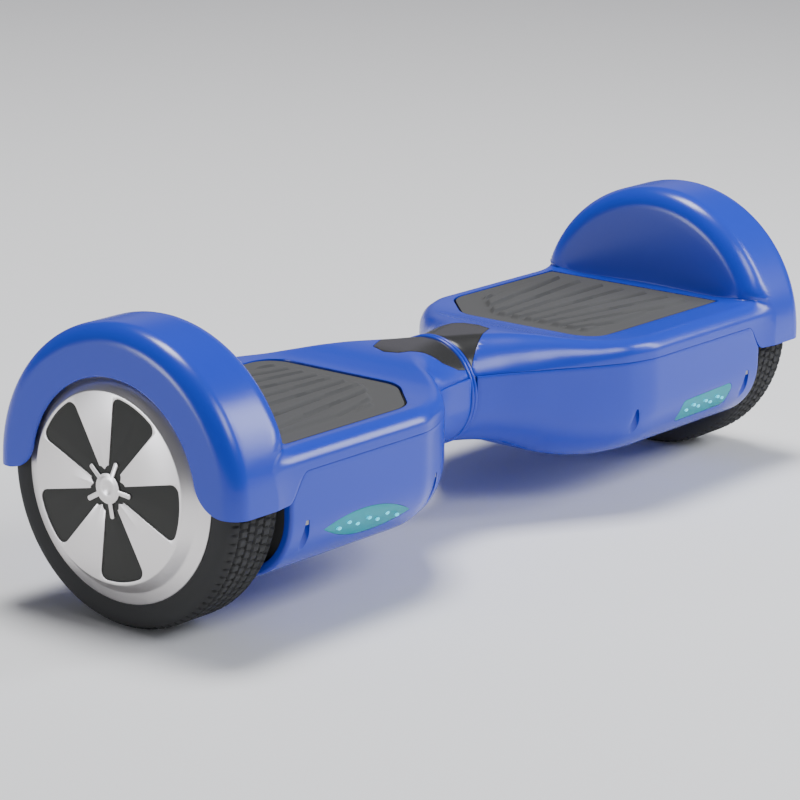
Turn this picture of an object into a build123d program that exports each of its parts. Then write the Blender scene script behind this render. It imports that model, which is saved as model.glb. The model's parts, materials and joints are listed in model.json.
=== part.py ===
from build123d import *
import math
import os

# Self balancing two wheel board, in millimetres.
# X runs along the wheel axles, -Y is the side with the lamps, +Z is up and the ground is Z = 0.
# The left half is the right half turned half a turn about Z, so each piece is drawn once, as the
# right half, and written twice. In the right half -Y is the slanting side of the waist and +Y is
# the square side.

# ---- driving sizes ---------------------------------------------------------------------------
overall_length = 585.6        # from one wheel face to the other
tyre_radius = 85.0
tyre_depth = 15.8             # rubber outside the rim's lip
tyre_width = 42.5
tyre_shoulder = 8.0
tread_bars = 72               # flat blocks round the tread
body_half_width = 90.0
deck_rise = 26.4              # deck above the axle
belly_drop = 53.5             # flat belly below the axle
neck_radius = 34.0
shell_wall = 2.8
seam_rise = 13.0              # seam of top and bottom cover above the axle
seam_gap = 0.3                # between neighbouring mouldings

# ---- waist of the body -----------------------------------------------------------------------
half_gap = 3.3                # from the middle to where each half's shell starts
saddle_overhang = 1.0
saddle_inset = 4.5            # side of the centre cover inside the neck's radius
saddle_tip = 48.0             # how far the centre cover reaches along the neck
neck_corner = 33.0
shoulder_radius = 10.0
belly_radius = 40.0
body_start = 122.0            # where the full width is reached
# station along X, then how far the slant side, the square side, the top, the belly and the corner
# radii have gone from the neck (0) to the full body (1)
waist_stations = (
    (half_gap, 0.00, 0.00, 0.00, 0.00, 0.00),
    (20.0, 0.14, 0.02, 0.00, 0.05, 0.10),
    (38.0, 0.33, 0.07, 0.03, 0.20, 0.25),
    (52.0, 0.47, 0.22, 0.20, 0.45, 0.45),
    (66.0, 0.62, 0.48, 0.55, 0.75, 0.70),
    (82.0, 0.78, 0.72, 0.86, 0.94, 0.88),
    (100.0, 0.93, 0.89, 0.98, 1.00, 1.00),
    (body_start, 1.00, 1.00, 1.00, 1.00, 1.00),
)

# ---- fender ----------------------------------------------------------------------------------
fender_setback = 2.8          # wheel face stands this far outside the fender
fender_width = 54.0
fender_gap = 5.2              # between tyre and fender
fender_opening_radius = 62.8
fender_outer_round = 12.0
fender_inner_round = 14.0
fender_skirt_drop = 3.0       # how far the fender's ends reach below the axle
well_lip = 4.0                # lower shell's reach towards the tyre, below the fender

# ---- foot pad --------------------------------------------------------------------------------
pad_start = 86.0
pad_square_side = 75.0
pad_slant_side = 61.0
pad_corner_cut = 34.0
pad_corner = 17.0
pad_tip_corner = 24.0
pad_seam = 1.2
pad_thickness = 3.0
pad_drop = 0.2                # pad's border below the deck
pad_travel = 1.5
pad_tray_floor = 2.5
pad_tray_wall = 2.0
pad_border = 13.0
rib_height = 2.4
rib_groove = 4.0
rib_pitch_angle = 3.6         # degrees
rib_fan_x = -70.0             # the ribs point at this place past the middle
rib_fan_y = 10.0
peg_radius = 4.0
peg_length = 8.0
peg_reach = 20.0
peg_aside = 34.0
peg_clearance = 0.25

# ---- wheel and hub motor ---------------------------------------------------------------------
rim_seat_depth = 6.2          # rim's tyre seat below its lip
rim_lip = 3.0
wheel_face_inset = 12.9       # flat face radius below the lip radius
wheel_band_depth = 9.2        # lip behind the wheel face
wheel_bevel_width = 5.4
wheel_bevel_depth = 6.5
wheel_face_thickness = 5.0
petal_count = 5
petal_outer_radius = 54.0
petal_half_width = 17.5
petal_tip_radius = 15.0
petal_root_share = 0.55
petal_corner = 5.0
petal_depth = 2.4
petal_recess = 0.5
petal_clearance = 0.1
petal_angle = 66.2            # direction of the first petal, from the square side upward
spider_radius = 9.0
spider_arm_length = 17.5
spider_arm_width = 2.8
spider_depth = 1.4
axle_radius = 8.5
axle_shoulder_radius = 10.0
axle_tip_radius = 6.0
axle_wire_bore = 3.5
axle_stub = 34.5              # axle held inside the body
fit_clearance = 0.03
inner_bearing_radius = 17.5
inner_bearing_width = 10.0
outer_bearing_radius = 14.0
outer_bearing_width = 8.0
back_cover_thickness = 4.0
stator_radius = 50.5
stator_width = 20.0
stator_hub_radius = 30.0
stator_teeth = 18
tooth_width = 5.0
tooth_head_width = 14.0
tooth_head_depth = 3.0
winding_build = 2.6
air_gap = 0.8
magnet_thickness = 2.5
magnet_count = 30
magnet_width = 9.5
hub_screw_count = 8
hub_screw_radius = 2.0

# ---- chassis, pivot and electronics ----------------------------------------------------------
chassis_thickness = 5.0
chassis_rise = -8.0           # chassis top below the axle
chassis_half_width = 52.0
chassis_start = 74.0
rail_height = 13.0
rail_width = 3.0
clamp_length = 30.0
clamp_half_width = 21.0
clamp_height = 12.5
clamp_screw_radius = 2.5
pivot_radius = 15.0
pivot_wall = 3.5
pivot_reach = 60.0
boss_gap = 4.2                # between the neck's inside and the boss
boss_start = 7.0
bush_wall = 2.5
bush_flange = 1.6
running_clearance = 0.05
stop_pin_radius = 2.5
stop_pin_clearance = 0.3
stop_pin_inset = 4.5          # pin's orbit inside the boss radius
stop_pin_depth = 8.0
bush_length = 18.0
circlip_width = 1.4
ring_width = 6.0
ring_stand = 1.4              # trim ring outside the neck
twist_limit = 10.0            # degrees each way between the two halves
screw_recess = 4.0
post_radius = 4.5
post_screw_radius = 1.8
post_half_width = 44.0
post_start = 108.0
post_end_inset = 21.0
flank_boss_radius = 5.5
flank_well_radius = 3.2
well_drop = 16.0              # top of the flank wells below the axle
flank_boss_drop = 40.0        # foot of the flank bosses below the axle
flank_boss_rise = 7.0         # top cover's bosses above the seam
flank_inset = 3.0
flank_end_inset = 10.0
flank_start_inset = 18.0
flank_slant_shift = 3.5       # the first wells lie this far inside the flank's line
flank_square_shift = 5.0
board_thickness = 1.6
sensor_board_length = 56.0
sensor_board_half_width = 42.0
sensor_board_rise = 11.5
battery_length = 92.0
battery_half_width = 34.0
battery_corner = 8.0
battery_edge = 3.0
battery_gap = 0.4             # under the chassis posts
main_board_length = 88.0
main_board_half_width = 33.0
standoff_radius = 3.0
sensor_post_reach = 25.0
sensor_post_aside = 12.0
main_post_reach = 40.0
main_post_aside = 28.0
light_hole_radius = 9.0
light_hole_reach = 23.0
light_hole_aside = 30.0
clamp_screw_reach = 9.0
main_board_drop = 5.0         # main board below the chassis
transistor_length = 10.0
transistor_width = 5.0
transistor_height = 9.0
transistor_pitch = 16.0
transistor_rows_apart = 36.0
capacitor_radius = 6.0
capacitor_height = 14.0
capacitor_reach = 30.0

# ---- lamps, button, socket and speaker -------------------------------------------------------
lens_drop = 29.0              # middle of each lamp below the axle
lens_height = 17.0
lens_seat = 0.25
lens_corner = 3.5
leaf_lamp_inset = 67.0        # middle of the left lamp before the body's end
leaf_lamp_reach = 41.0
leaf_lamp_lean = 3.0
leaf_lamp_tip = 0.4           # tip's height as a share of half the lens height
leaf_board_reach = 46.0
block_lamp_inset = 56.0       # middle of the right lamp before the body's end
block_lamp_reach = 30.0
block_lamp_slant = 3.0
block_lamp_taper = 1.0
block_board_reach = 37.0
lamp_rib_thickness = 2.4
lamp_rib_length = 24.0
led_size = 4.8
led_pitch = 9.0
led_count = 7
led_height = 1.0
lamp_board_inset = 18.0
lamp_board_height = 14.0
button_radius = 9.0
button_stand = 0.6
button_flange = 1.8
button_flange_depth = 1.5
button_stem_radius = 3.0
button_stem_length = 10.0
switch_wall = 3.5
switch_depth = 14.0
button_travel = 1.5
button_clearance = 0.15
button_rise = -3.0
button_x = 150.0
port_x = 185.0
port_bore = 5.6
port_radius = 10.5
port_flange = 2.3
port_depth = 16.0
speaker_radius = 18.0
speaker_height = 12.0
speaker_x = 130.0
speaker_foot = 3.0
speaker_taper = 30.0
speaker_magnet_share = 0.55
speaker_magnet_height = 5.0
slot_length = 26.0
slot_width = 2.4
slot_pitch = 6.0
slot_count = 5

# ---- places worked out from the driving sizes --------------------------------------------------
axle_height = tyre_radius
wheel_face_x = overall_length / 2
fender_outer_x = wheel_face_x - fender_setback
body_end_x = fender_outer_x - fender_width
fender_radius = tyre_radius + fender_gap + shell_wall
deck_z = axle_height + deck_rise
belly_z = axle_height - belly_drop
seam_z = axle_height + seam_rise
chassis_top = axle_height + chassis_rise
chassis_bottom = chassis_top - chassis_thickness
rim_lip_radius = tyre_radius - tyre_depth
tread_radius = tyre_radius / math.cos(math.pi / tread_bars)   # corners between the blocks
rim_seat_radius = rim_lip_radius - rim_seat_depth
wheel_face_radius = rim_lip_radius - wheel_face_inset
lip_x = wheel_face_x - wheel_band_depth
tyre_outer_x = lip_x + 0.4
tyre_inner_x = tyre_outer_x - tyre_width
bearing_x = tyre_inner_x + 1.5
stator_x = bearing_x + inner_bearing_width + 1.5
magnet_inner_radius = stator_radius + air_gap
magnet_outer_radius = magnet_inner_radius + magnet_thickness
face_back_x = wheel_face_x - wheel_face_thickness
outer_bearing_x = face_back_x - outer_bearing_width
pad_end = body_end_x - 6.0
pad_bottom = deck_z - pad_drop - pad_thickness
tray_floor_top = pad_bottom - pad_travel - 0.2
tray_floor_bottom = tray_floor_top - pad_tray_floor
clamp_end = body_end_x - shell_wall - 2.0
clamp_start = clamp_end - clamp_length
axle_start = body_end_x - axle_stub

boss_radius = neck_radius - shell_wall - boss_gap
pivot_bore = pivot_radius - pivot_wall
pin_orbit = boss_radius - stop_pin_inset
bush_radius = pivot_radius + bush_wall
board_middle = (pad_start + pad_end) / 2
sensor_board_z = axle_height + sensor_board_rise
main_board_z = chassis_bottom - main_board_drop - board_thickness
magnet_seat_radius = math.hypot(magnet_outer_radius, magnet_width / 2) + running_clearance
barrel_back_x = bearing_x + back_cover_thickness
hub_screw_orbit = (magnet_seat_radius + rim_seat_radius) / 2

axle_line = Plane(origin=(0, 0, axle_height), x_dir=(0, 1, 0), z_dir=(1, 0, 0))


def mix(start, end, share):
    """Value at a share of the way from start to end."""
    return start + (end - start) * share


def across(x):
    """Plane square to the axle line at x: its x is the part's Y and its y is height over the axle."""
    return axle_line.offset(x)


def body_profile(slant, square, top, belly, top_corner, belly_corner):
    """Closed outline of the body in an across plane, with rounded corners."""
    Line((square - top_corner, top), (-slant + top_corner, top))
    CenterArc((-slant + top_corner, top - top_corner), top_corner, 90, 90)
    Line((-slant, top - top_corner), (-slant, -belly + belly_corner))
    CenterArc((-slant + belly_corner, -belly + belly_corner), belly_corner, 180, 90)
    Line((-slant + belly_corner, -belly), (square - belly_corner, -belly))
    CenterArc((square - belly_corner, -belly + belly_corner), belly_corner, 270, 90)
    Line((square, -belly + belly_corner), (square, top - top_corner))
    CenterArc((square - top_corner, top - top_corner), top_corner, 0, 90)


def waist_sketch(station, inset, x):
    """Section of the body for one waist station, drawn smaller by inset and placed at x."""
    _, slant, square, top, belly, corner = station
    with BuildSketch(across(x)) as section:
        with BuildLine():
            body_profile(
                mix(neck_radius, body_half_width, slant) - inset,
                mix(neck_radius, body_half_width, square) - inset,
                mix(neck_radius, deck_rise, top) - inset,
                mix(neck_radius, belly_drop, belly) - inset,
                mix(neck_corner, shoulder_radius, corner) - inset,
                mix(neck_corner, belly_radius, corner) - inset,
            )
        make_face()
    return section.sketch


def body_block(inset):
    """Solid of the body, drawn smaller by inset; a smaller one runs out through the neck's end."""
    with BuildPart() as block:
        loft([waist_sketch(station, inset, station[0]) for station in waist_stations])
        full = waist_sketch(waist_stations[-1], inset, body_start)
        extrude(full, amount=body_end_x - body_start - inset)
        if inset > 0:
            neck = waist_sketch(waist_stations[0], inset, half_gap)
            extrude(neck, amount=-1)
    return block.part


def pad_outline(extra, height):
    """Plan outline of the foot pad at a height, grown by extra."""
    square = pad_square_side + extra
    slant = -pad_slant_side - extra
    start = pad_start - extra
    end = pad_end + extra
    with BuildSketch(Plane.XY.offset(height)) as outline:
        with BuildLine():
            Polyline(
                (end, square),
                (start + pad_corner_cut, square),
                (start, square - pad_corner_cut),
                (start, slant),
                (end, slant),
                close=True,
            )
        make_face()
        slant_corner, *tip_corners = outline.vertices().sort_by(Axis.X)[:3].sort_by(Axis.Y)
        fillet(slant_corner, radius=pad_corner + extra)
        fillet(tip_corners, radius=pad_tip_corner + extra)
    return outline.sketch


def flank_places():
    """Screw wells along the two flanks of a half, as (x, y)."""
    near = body_start - flank_start_inset
    far = body_end_x - flank_end_inset
    reach = body_half_width - flank_inset
    slant = -reach + flank_slant_shift
    square = reach - flank_square_shift
    return [(near, slant), (far, -reach), (far, reach), (near, square)]


def post_places():
    """Screw posts between the belly, the chassis and the deck, as (x, y)."""
    far = body_end_x - post_end_inset
    return [(x, y) for x in (post_start, far) for y in (-post_half_width, post_half_width)]


def peg_places():
    """Pegs under the foot pad that reach the sensor board, as (x, y)."""
    return [(board_middle + x, y) for x in (-peg_reach, peg_reach) for y in (-peg_aside, peg_aside)]


def columns(places, radius, bottom, top):
    """Upright cylinders at the given places, from bottom to top."""
    with BuildPart() as cylinders:
        with BuildSketch(Plane.XY.offset(bottom)):
            with Locations(*places):
                Circle(radius)
        extrude(amount=top - bottom)
    return cylinders.part


def saddle_prism(gap):
    """Upright block in the plan outline of the centre cover, drawn smaller by gap."""
    start = half_gap - saddle_overhang + gap
    reach = neck_radius - saddle_inset
    with BuildPart() as prism:
        with BuildSketch(Plane.XY.offset(seam_z + 3)):
            with BuildLine():
                Polyline(
                    (start, reach - gap),
                    (11, reach - gap),
                    (23, reach - 3 - gap),
                    (31, reach - 11.5 - gap),
                    (saddle_tip - 3, 9.5 - gap),
                    (saddle_tip - gap, 0),
                    (saddle_tip - 5 - gap, -13 + gap),
                    (start, -reach + gap),
                    close=True,
                )
            make_face()
        extrude(amount=neck_radius)
    return prism.part


def lamp_half_length(side):
    """Half the length of a lamp's board."""
    return leaf_board_reach if side == "left" else block_board_reach


def lamp_middle(side):
    """Middle of a lamp along X."""
    return body_end_x - (leaf_lamp_inset if side == "left" else block_lamp_inset)


def lamp_face(side):
    """Which way a lamp looks in the right half's own frame: +1 is the square side."""
    return 1 if side == "left" else -1


def lens_prism(side, grow):
    """Block through the flank in the shape of a lamp lens: leaf shaped left, slanted block right."""
    leaf = side == "left"
    face = lamp_face(side)
    half = lens_height / 2
    tip = leaf_lamp_tip * half
    reach = leaf_lamp_reach if leaf else block_lamp_reach
    middle = (lamp_middle(side), 0, axle_height - lens_drop)
    lens_plane = Plane(origin=middle, x_dir=(1, 0, 0), z_dir=(0, -1, 0))
    with BuildPart() as prism:
        with BuildSketch(lens_plane.offset(-face * (body_half_width + 10))):
            with BuildLine():
                if leaf:
                    ThreePointArc((-reach, -tip), (-leaf_lamp_lean, half), (reach, tip))
                    ThreePointArc((reach, tip), (leaf_lamp_lean, -half), (-reach, -tip))
                else:
                    Polyline(
                        (-reach, -half),
                        (reach - block_lamp_slant, -half + block_lamp_taper),
                        (reach + block_lamp_taper, half),
                        (-reach + block_lamp_slant, half - 2 * block_lamp_taper),
                        close=True,
                    )
            make_face()
            if not leaf:
                fillet(vertices(), radius=lens_corner)
            if grow:
                offset(amount=grow)
        extrude(amount=face * body_half_width * 0.6)
    return prism.part


outer_body = body_block(0)
inner_body = body_block(shell_wall)
with BuildPart() as wall_build:
    add(outer_body)
    add(inner_body, mode=Mode.SUBTRACT)
body_wall = wall_build.part


def flank_bosses(bottom, top):
    """Screw bosses inside the flanks, cut to the shell's outer face."""
    with BuildPart() as bosses:
        add(columns(flank_places(), flank_boss_radius, bottom, top))
        add(outer_body, mode=Mode.INTERSECT)
    return bosses.part


def make_top_cover(side):
    """Upper half of the shell, with the tray that the foot pad lies in."""
    edge = seam_z + seam_gap / 2
    boss_top = edge + flank_boss_rise
    reach = deck_z - tray_floor_bottom
    peg_hole = peg_radius + peg_clearance
    with BuildPart() as top_cover:
        add(body_wall)
        split(bisect_by=Plane.XY.offset(edge), keep=Keep.TOP)
        add(flank_bosses(edge, boss_top))
        add(columns(flank_places(), post_screw_radius, edge - 1, boss_top - 2), mode=Mode.SUBTRACT)
        extrude(pad_outline(pad_seam + pad_tray_wall, tray_floor_bottom), amount=reach - 1)
        add(columns(post_places(), post_radius, chassis_top + seam_gap / 2, tray_floor_bottom + 1))
        extrude(pad_outline(pad_seam, tray_floor_top), amount=reach + 5, mode=Mode.SUBTRACT)
        add(columns(peg_places(), peg_hole, tray_floor_bottom - 1, deck_z), mode=Mode.SUBTRACT)
        add(columns(post_places(), post_screw_radius, chassis_top - 1, tray_floor_bottom), mode=Mode.SUBTRACT)
        add(saddle_prism(0), mode=Mode.SUBTRACT)
    return top_cover.part


def lamp_ribs(side):
    """Two ribs inside the flank that hold the lamp's board."""
    face = lamp_face(side)
    board_y = body_half_width - lamp_board_inset
    with BuildPart() as ribs:
        with BuildSketch(Plane.XY.offset(axle_height - lens_drop - lamp_board_height / 2)):
            with Locations((lamp_middle(side), face * (board_y + lamp_rib_length / 2))):
                with GridLocations(2 * (lamp_half_length(side) - 2), 1, 2, 1):
                    Rectangle(lamp_rib_thickness, lamp_rib_length - 2 * seam_gap)
        extrude(amount=lamp_board_height)
        add(outer_body, mode=Mode.INTERSECT)
    return ribs.part


def socket_plane(x, distance):
    """Plane on the slant side's flank for a round control at x, facing out at a distance from Y = 0."""
    return Plane(origin=(x, -distance, axle_height + button_rise), x_dir=(1, 0, 0), z_dir=(0, -1, 0))


def rod(plane, radius, length):
    """Solid round bar from a plane along its normal."""
    with BuildPart() as bar:
        with BuildSketch(plane):
            Circle(radius)
        extrude(amount=length)
    return bar.part


def wheel_well_lip():
    """Rim of the lower shell that reaches towards the tyre, below the fender."""
    outside = waist_sketch(waist_stations[-1], 0, body_end_x - 1)
    inside = waist_sketch(waist_stations[-1], shell_wall, body_end_x - 2)
    with BuildPart() as lip:
        extrude(outside, amount=well_lip + 1)
        extrude(inside, amount=well_lip + 3, mode=Mode.SUBTRACT)
        split(bisect_by=Plane.XY.offset(axle_height - fender_skirt_drop - seam_gap), keep=Keep.BOTTOM)
    return lip.part


def make_bottom_cover(side):
    """Lower half of the shell, with screw posts, the axle's notch and the lamp's opening."""
    well_top = axle_height - well_drop
    edge = seam_z - seam_gap / 2
    head_room = post_radius - 1.2
    with BuildPart() as bottom_cover:
        add(body_wall)
        split(bisect_by=Plane.XY.offset(edge), keep=Keep.BOTTOM)
        add(wheel_well_lip())
        add(flank_bosses(axle_height - flank_boss_drop, edge))
        add(columns(flank_places(), flank_well_radius, belly_z - 1, well_top), mode=Mode.SUBTRACT)
        add(columns(flank_places(), post_screw_radius, well_top - 1, edge + 1), mode=Mode.SUBTRACT)
        add(columns(post_places(), post_radius, belly_z + 1, chassis_bottom - seam_gap / 2))
        add(columns(post_places(), post_screw_radius, belly_z - 1, chassis_bottom), mode=Mode.SUBTRACT)
        add(columns(post_places(), head_room, belly_z - 1, belly_z + screw_recess), mode=Mode.SUBTRACT)
        with BuildSketch(across(body_end_x - shell_wall - 1)):
            Circle(axle_radius + 1.5)
            with Locations((0, seam_rise / 2)):
                Rectangle(2 * axle_radius + 3, seam_rise)
        extrude(amount=shell_wall + 2, mode=Mode.SUBTRACT)
        add(lamp_ribs(side))
        add(lens_prism(side, 0), mode=Mode.SUBTRACT)
        if side == "left":
            inside = body_half_width - shell_wall - 1
            button_hole = button_radius + button_clearance
            port_hole = port_radius - port_flange + button_clearance
            add(rod(socket_plane(button_x, inside), button_hole, shell_wall + 3), mode=Mode.SUBTRACT)
            add(rod(socket_plane(port_x, inside), port_hole, shell_wall + 3), mode=Mode.SUBTRACT)
            with BuildSketch(Plane.XY.offset(belly_z - 1)):
                with Locations((speaker_x, 0)):
                    with GridLocations(1, slot_pitch, 1, slot_count):
                        SlotOverall(slot_length, slot_width)
            extrude(amount=shell_wall + 2, mode=Mode.SUBTRACT)
    return bottom_cover.part


def make_centre_cover(side):
    """Gloss black cover over the top of the neck."""
    with BuildPart() as centre_cover:
        add(body_wall)
        add(saddle_prism(seam_gap), mode=Mode.INTERSECT)
    return centre_cover.part


def make_fender(side):
    """Round cover over the wheel, open below, with an opening for the wheel's face."""
    back = body_end_x + seam_gap
    front = fender_outer_x
    crown = fender_radius
    back_round = fender_inner_round
    front_round = fender_outer_round
    side_view = Plane(origin=(0, 0, axle_height), x_dir=(1, 0, 0), z_dir=(0, -1, 0))
    with BuildPart() as fender:
        with BuildSketch(side_view):
            with BuildLine():
                Line((back, 0), (back, crown - back_round))
                CenterArc((back + back_round, crown - back_round), back_round, 180, -90)
                Line((back + back_round, crown), (front - front_round, crown))
                CenterArc((front - front_round, crown - front_round), front_round, 90, -90)
                Line((front, crown - front_round), (front, fender_opening_radius))
                Line((front, fender_opening_radius), (front - shell_wall, fender_opening_radius))
                Line((front - shell_wall, fender_opening_radius), (front - shell_wall, crown - front_round))
                CenterArc((front - front_round, crown - front_round), front_round - shell_wall, 0, 90)
                Line((front - front_round, crown - shell_wall), (back + back_round, crown - shell_wall))
                CenterArc((back + back_round, crown - back_round), back_round - shell_wall, 90, 90)
                Line((back + shell_wall, crown - back_round), (back + shell_wall, 0))
                Line((back + shell_wall, 0), (back, 0))
            make_face()
        revolve(axis=Axis((0, 0, axle_height), (1, 0, 0)))
        split(bisect_by=Plane.XY.offset(axle_height - fender_skirt_drop), keep=Keep.TOP)
        add(rod(across(body_end_x - 1), axle_radius + 1.5, shell_wall + 3), mode=Mode.SUBTRACT)
    return fender.part


def make_foot_pad(side):
    """Rubber pad with a fan of raised ribs above and pegs below that reach the sensor board."""
    top = pad_bottom + pad_thickness
    reach = pad_end - rib_fan_x + 40
    with BuildPart() as foot_pad:
        extrude(pad_outline(0, pad_bottom), amount=pad_thickness)
        with BuildSketch(Plane.XY.offset(top)) as ribs:
            for number in range(-7, 8):
                turn = math.radians(number * rib_pitch_angle)
                half = math.radians(rib_pitch_angle / 2)
                near = rib_groove / 2 / math.sin(half)
                wide = (reach - near) * math.tan(half)
                start = (rib_fan_x + near * math.cos(turn), rib_fan_y + near * math.sin(turn))
                end = (rib_fan_x + reach * math.cos(turn), rib_fan_y + reach * math.sin(turn))
                side_x = -wide * math.sin(turn)
                side_y = wide * math.cos(turn)
                with BuildLine():
                    Polyline(
                        start,
                        (end[0] + side_x, end[1] + side_y),
                        (end[0] - side_x, end[1] - side_y),
                        close=True,
                    )
                make_face()
            add(pad_outline(-pad_border, 0), mode=Mode.INTERSECT)
        extrude(amount=rib_height)
        add(columns(peg_places(), peg_radius, pad_bottom - peg_length, pad_bottom + 1))
    return foot_pad.part


def make_led_lens(side):
    """Clear lamp lens, flush with the flank."""
    with BuildPart() as led_lens:
        add(body_wall)
        add(lens_prism(side, -lens_seat), mode=Mode.INTERSECT)
    return led_lens.part


def make_led_board(side):
    """Strip of light emitting diodes behind the lens."""
    face = lamp_face(side)
    board_y = body_half_width - lamp_board_inset - board_thickness / 2
    chip = led_size / 2
    with BuildPart() as led_board:
        with BuildSketch(Plane.XY.offset(axle_height - lens_drop - lamp_board_height / 2)):
            with Locations((lamp_middle(side), face * board_y)):
                Rectangle(2 * lamp_half_length(side), board_thickness)
        extrude(amount=lamp_board_height)
        with BuildSketch(Plane.XY.offset(axle_height - lens_drop - chip)):
            with Locations((lamp_middle(side), face * (board_y + board_thickness / 2 + led_height / 2))):
                with GridLocations(led_pitch, 1, led_count, 1):
                    Rectangle(led_size, led_height)
        extrude(amount=2 * chip)
    return led_board.part


def make_chassis(side):
    """Cast frame of a half: plate, rails, axle saddle and the boss of the middle pivot."""
    middle_x = (chassis_start + clamp_end) / 2
    length = clamp_end - chassis_start
    bore = pivot_radius + fit_clearance if side == "left" else bush_radius + fit_clearance
    with BuildPart() as chassis:
        with BuildSketch(Plane.XY.offset(chassis_bottom)):
            with Locations((middle_x, 0)):
                Rectangle(length, 2 * chassis_half_width)
            with Locations(((chassis_start + boss_start + 4) / 2, 0)):
                Rectangle(chassis_start - boss_start, 2 * boss_radius)
        extrude(amount=chassis_thickness)
        with BuildSketch(Plane.XY.offset(chassis_top)):
            with Locations((middle_x, 0)):
                with GridLocations(1, 2 * chassis_half_width - rail_width, 1, 2):
                    Rectangle(length, rail_width)
        extrude(amount=rail_height)
        with BuildSketch(Plane.XY.offset(chassis_bottom)):
            with Locations(((clamp_start + clamp_end) / 2, 0)):
                Rectangle(clamp_length, 2 * clamp_half_width)
        extrude(amount=axle_height - seam_gap - chassis_bottom)
        with BuildSketch(across(boss_start)):
            Circle(boss_radius)
        extrude(amount=pivot_reach - boss_start)
        with Locations((board_middle, 0, chassis_bottom + chassis_thickness / 2)):
            with GridLocations(2 * light_hole_reach, 2 * light_hole_aside, 2, 2):
                Cylinder(light_hole_radius, chassis_thickness + 1, mode=Mode.SUBTRACT)
        upper_posts = standoff_places(sensor_post_reach, sensor_post_aside)
        lower_posts = standoff_places(main_post_reach, main_post_aside)
        add(columns(upper_posts, standoff_radius, chassis_top - 1, sensor_board_z))
        add(columns(lower_posts, standoff_radius, main_board_z + board_thickness, chassis_bottom + 1))
        with BuildSketch(across(boss_start - 1)):
            Circle(bore)
        extrude(amount=pivot_reach - boss_start + 2, mode=Mode.SUBTRACT)
        with BuildSketch(across(pivot_reach)):
            Circle(bush_radius + 3.5)
        extrude(amount=chassis_start - pivot_reach - 1, mode=Mode.SUBTRACT)
        with BuildSketch(across(clamp_start - 1)):
            Circle(axle_radius + fit_clearance)
        extrude(amount=clamp_length + 10, mode=Mode.SUBTRACT)
        with BuildSketch(across(boss_start)):
            if side == "left":
                with Locations((0, pin_orbit)):
                    Circle(stop_pin_radius + fit_clearance)
            else:
                with BuildLine(mode=Mode.PRIVATE) as stop_arc:
                    CenterArc((0, 0), pin_orbit, 90 - twist_limit, 2 * twist_limit)
                SlotArc(stop_arc.line.edges()[0], 2 * (stop_pin_radius + stop_pin_clearance))
        extrude(amount=stop_pin_depth + 1, mode=Mode.SUBTRACT)
        add(columns(post_places(), post_screw_radius, chassis_bottom - 1, chassis_top + 1), mode=Mode.SUBTRACT)
        thread = clamp_screw_radius + fit_clearance
        add(columns(clamp_screw_places(), thread, chassis_bottom + 2, axle_height), mode=Mode.SUBTRACT)
    return chassis.part


def standoff_places(along, aside):
    """Four board posts about the middle of the pad, as (x, y)."""
    return [(board_middle + x, y) for x in (-along, along) for y in (-aside, aside)]


def clamp_screw_places():
    """Four screws of the axle clamp, as (x, y)."""
    middle_x = (clamp_start + clamp_end) / 2
    aside = (axle_radius + clamp_half_width) / 2
    reach = clamp_screw_reach
    return [(middle_x + x, y) for x in (-reach, reach) for y in (-aside, aside)]


def make_axle_clamp(side):
    """Upper half of the axle's clamp."""
    with BuildPart() as axle_clamp:
        with BuildSketch(Plane.XY.offset(axle_height + seam_gap)):
            with Locations(((clamp_start + clamp_end) / 2, 0)):
                Rectangle(clamp_length, 2 * clamp_half_width)
        extrude(amount=clamp_height - seam_gap)
        chamfer(axle_clamp.faces().sort_by(Axis.Z)[-1].edges().filter_by(Axis.X), length=3)
        add(rod(across(clamp_start - 1), axle_radius + fit_clearance, clamp_length + 2), mode=Mode.SUBTRACT)
        hole = clamp_screw_radius + fit_clearance
        add(columns(clamp_screw_places(), hole, axle_height, axle_height + 30), mode=Mode.SUBTRACT)
    return axle_clamp.part


def make_clamp_screws(side):
    """Four socket head screws of the axle clamp."""
    top = axle_height + clamp_height
    head_radius = 1.6 * clamp_screw_radius
    head_height = 4.5
    with BuildPart() as clamp_screws:
        add(columns(clamp_screw_places(), clamp_screw_radius, chassis_bottom + 2.5, top + 1))
        add(columns(clamp_screw_places(), head_radius, top + 0.05, top + head_height))
        with BuildSketch(Plane.XY.offset(top + head_height)):
            with Locations(*clamp_screw_places()):
                RegularPolygon(clamp_screw_radius * 0.8, 6)
        extrude(amount=-3, mode=Mode.SUBTRACT)
    return clamp_screws.part


def make_cover_screws(side):
    """Screws up through the belly posts and the flank wells."""
    well_top = axle_height - well_drop
    shank = post_screw_radius - 0.15
    flank_head = flank_well_radius - 0.4
    post_head = post_radius - 1.5
    recess_top = belly_z + screw_recess - 0.1
    with BuildPart() as cover_screws:
        add(columns(post_places(), shank, recess_top - 1, tray_floor_bottom - 2))
        add(columns(post_places(), post_head, recess_top - 2.6, recess_top))
        add(columns(flank_places(), shank, well_top - 1, seam_z + 4))
        add(columns(flank_places(), flank_head, well_top - 2.6, well_top - 0.1))
        for places, bottom in ((post_places(), recess_top - 2.6), (flank_places(), well_top - 2.6)):
            with BuildSketch(Plane.XY.offset(bottom)):
                with Locations(*places):
                    Rectangle(3.4, 0.9)
                    Rectangle(0.9, 3.4)
            extrude(amount=1.2, mode=Mode.SUBTRACT)
    return cover_screws.part


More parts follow.
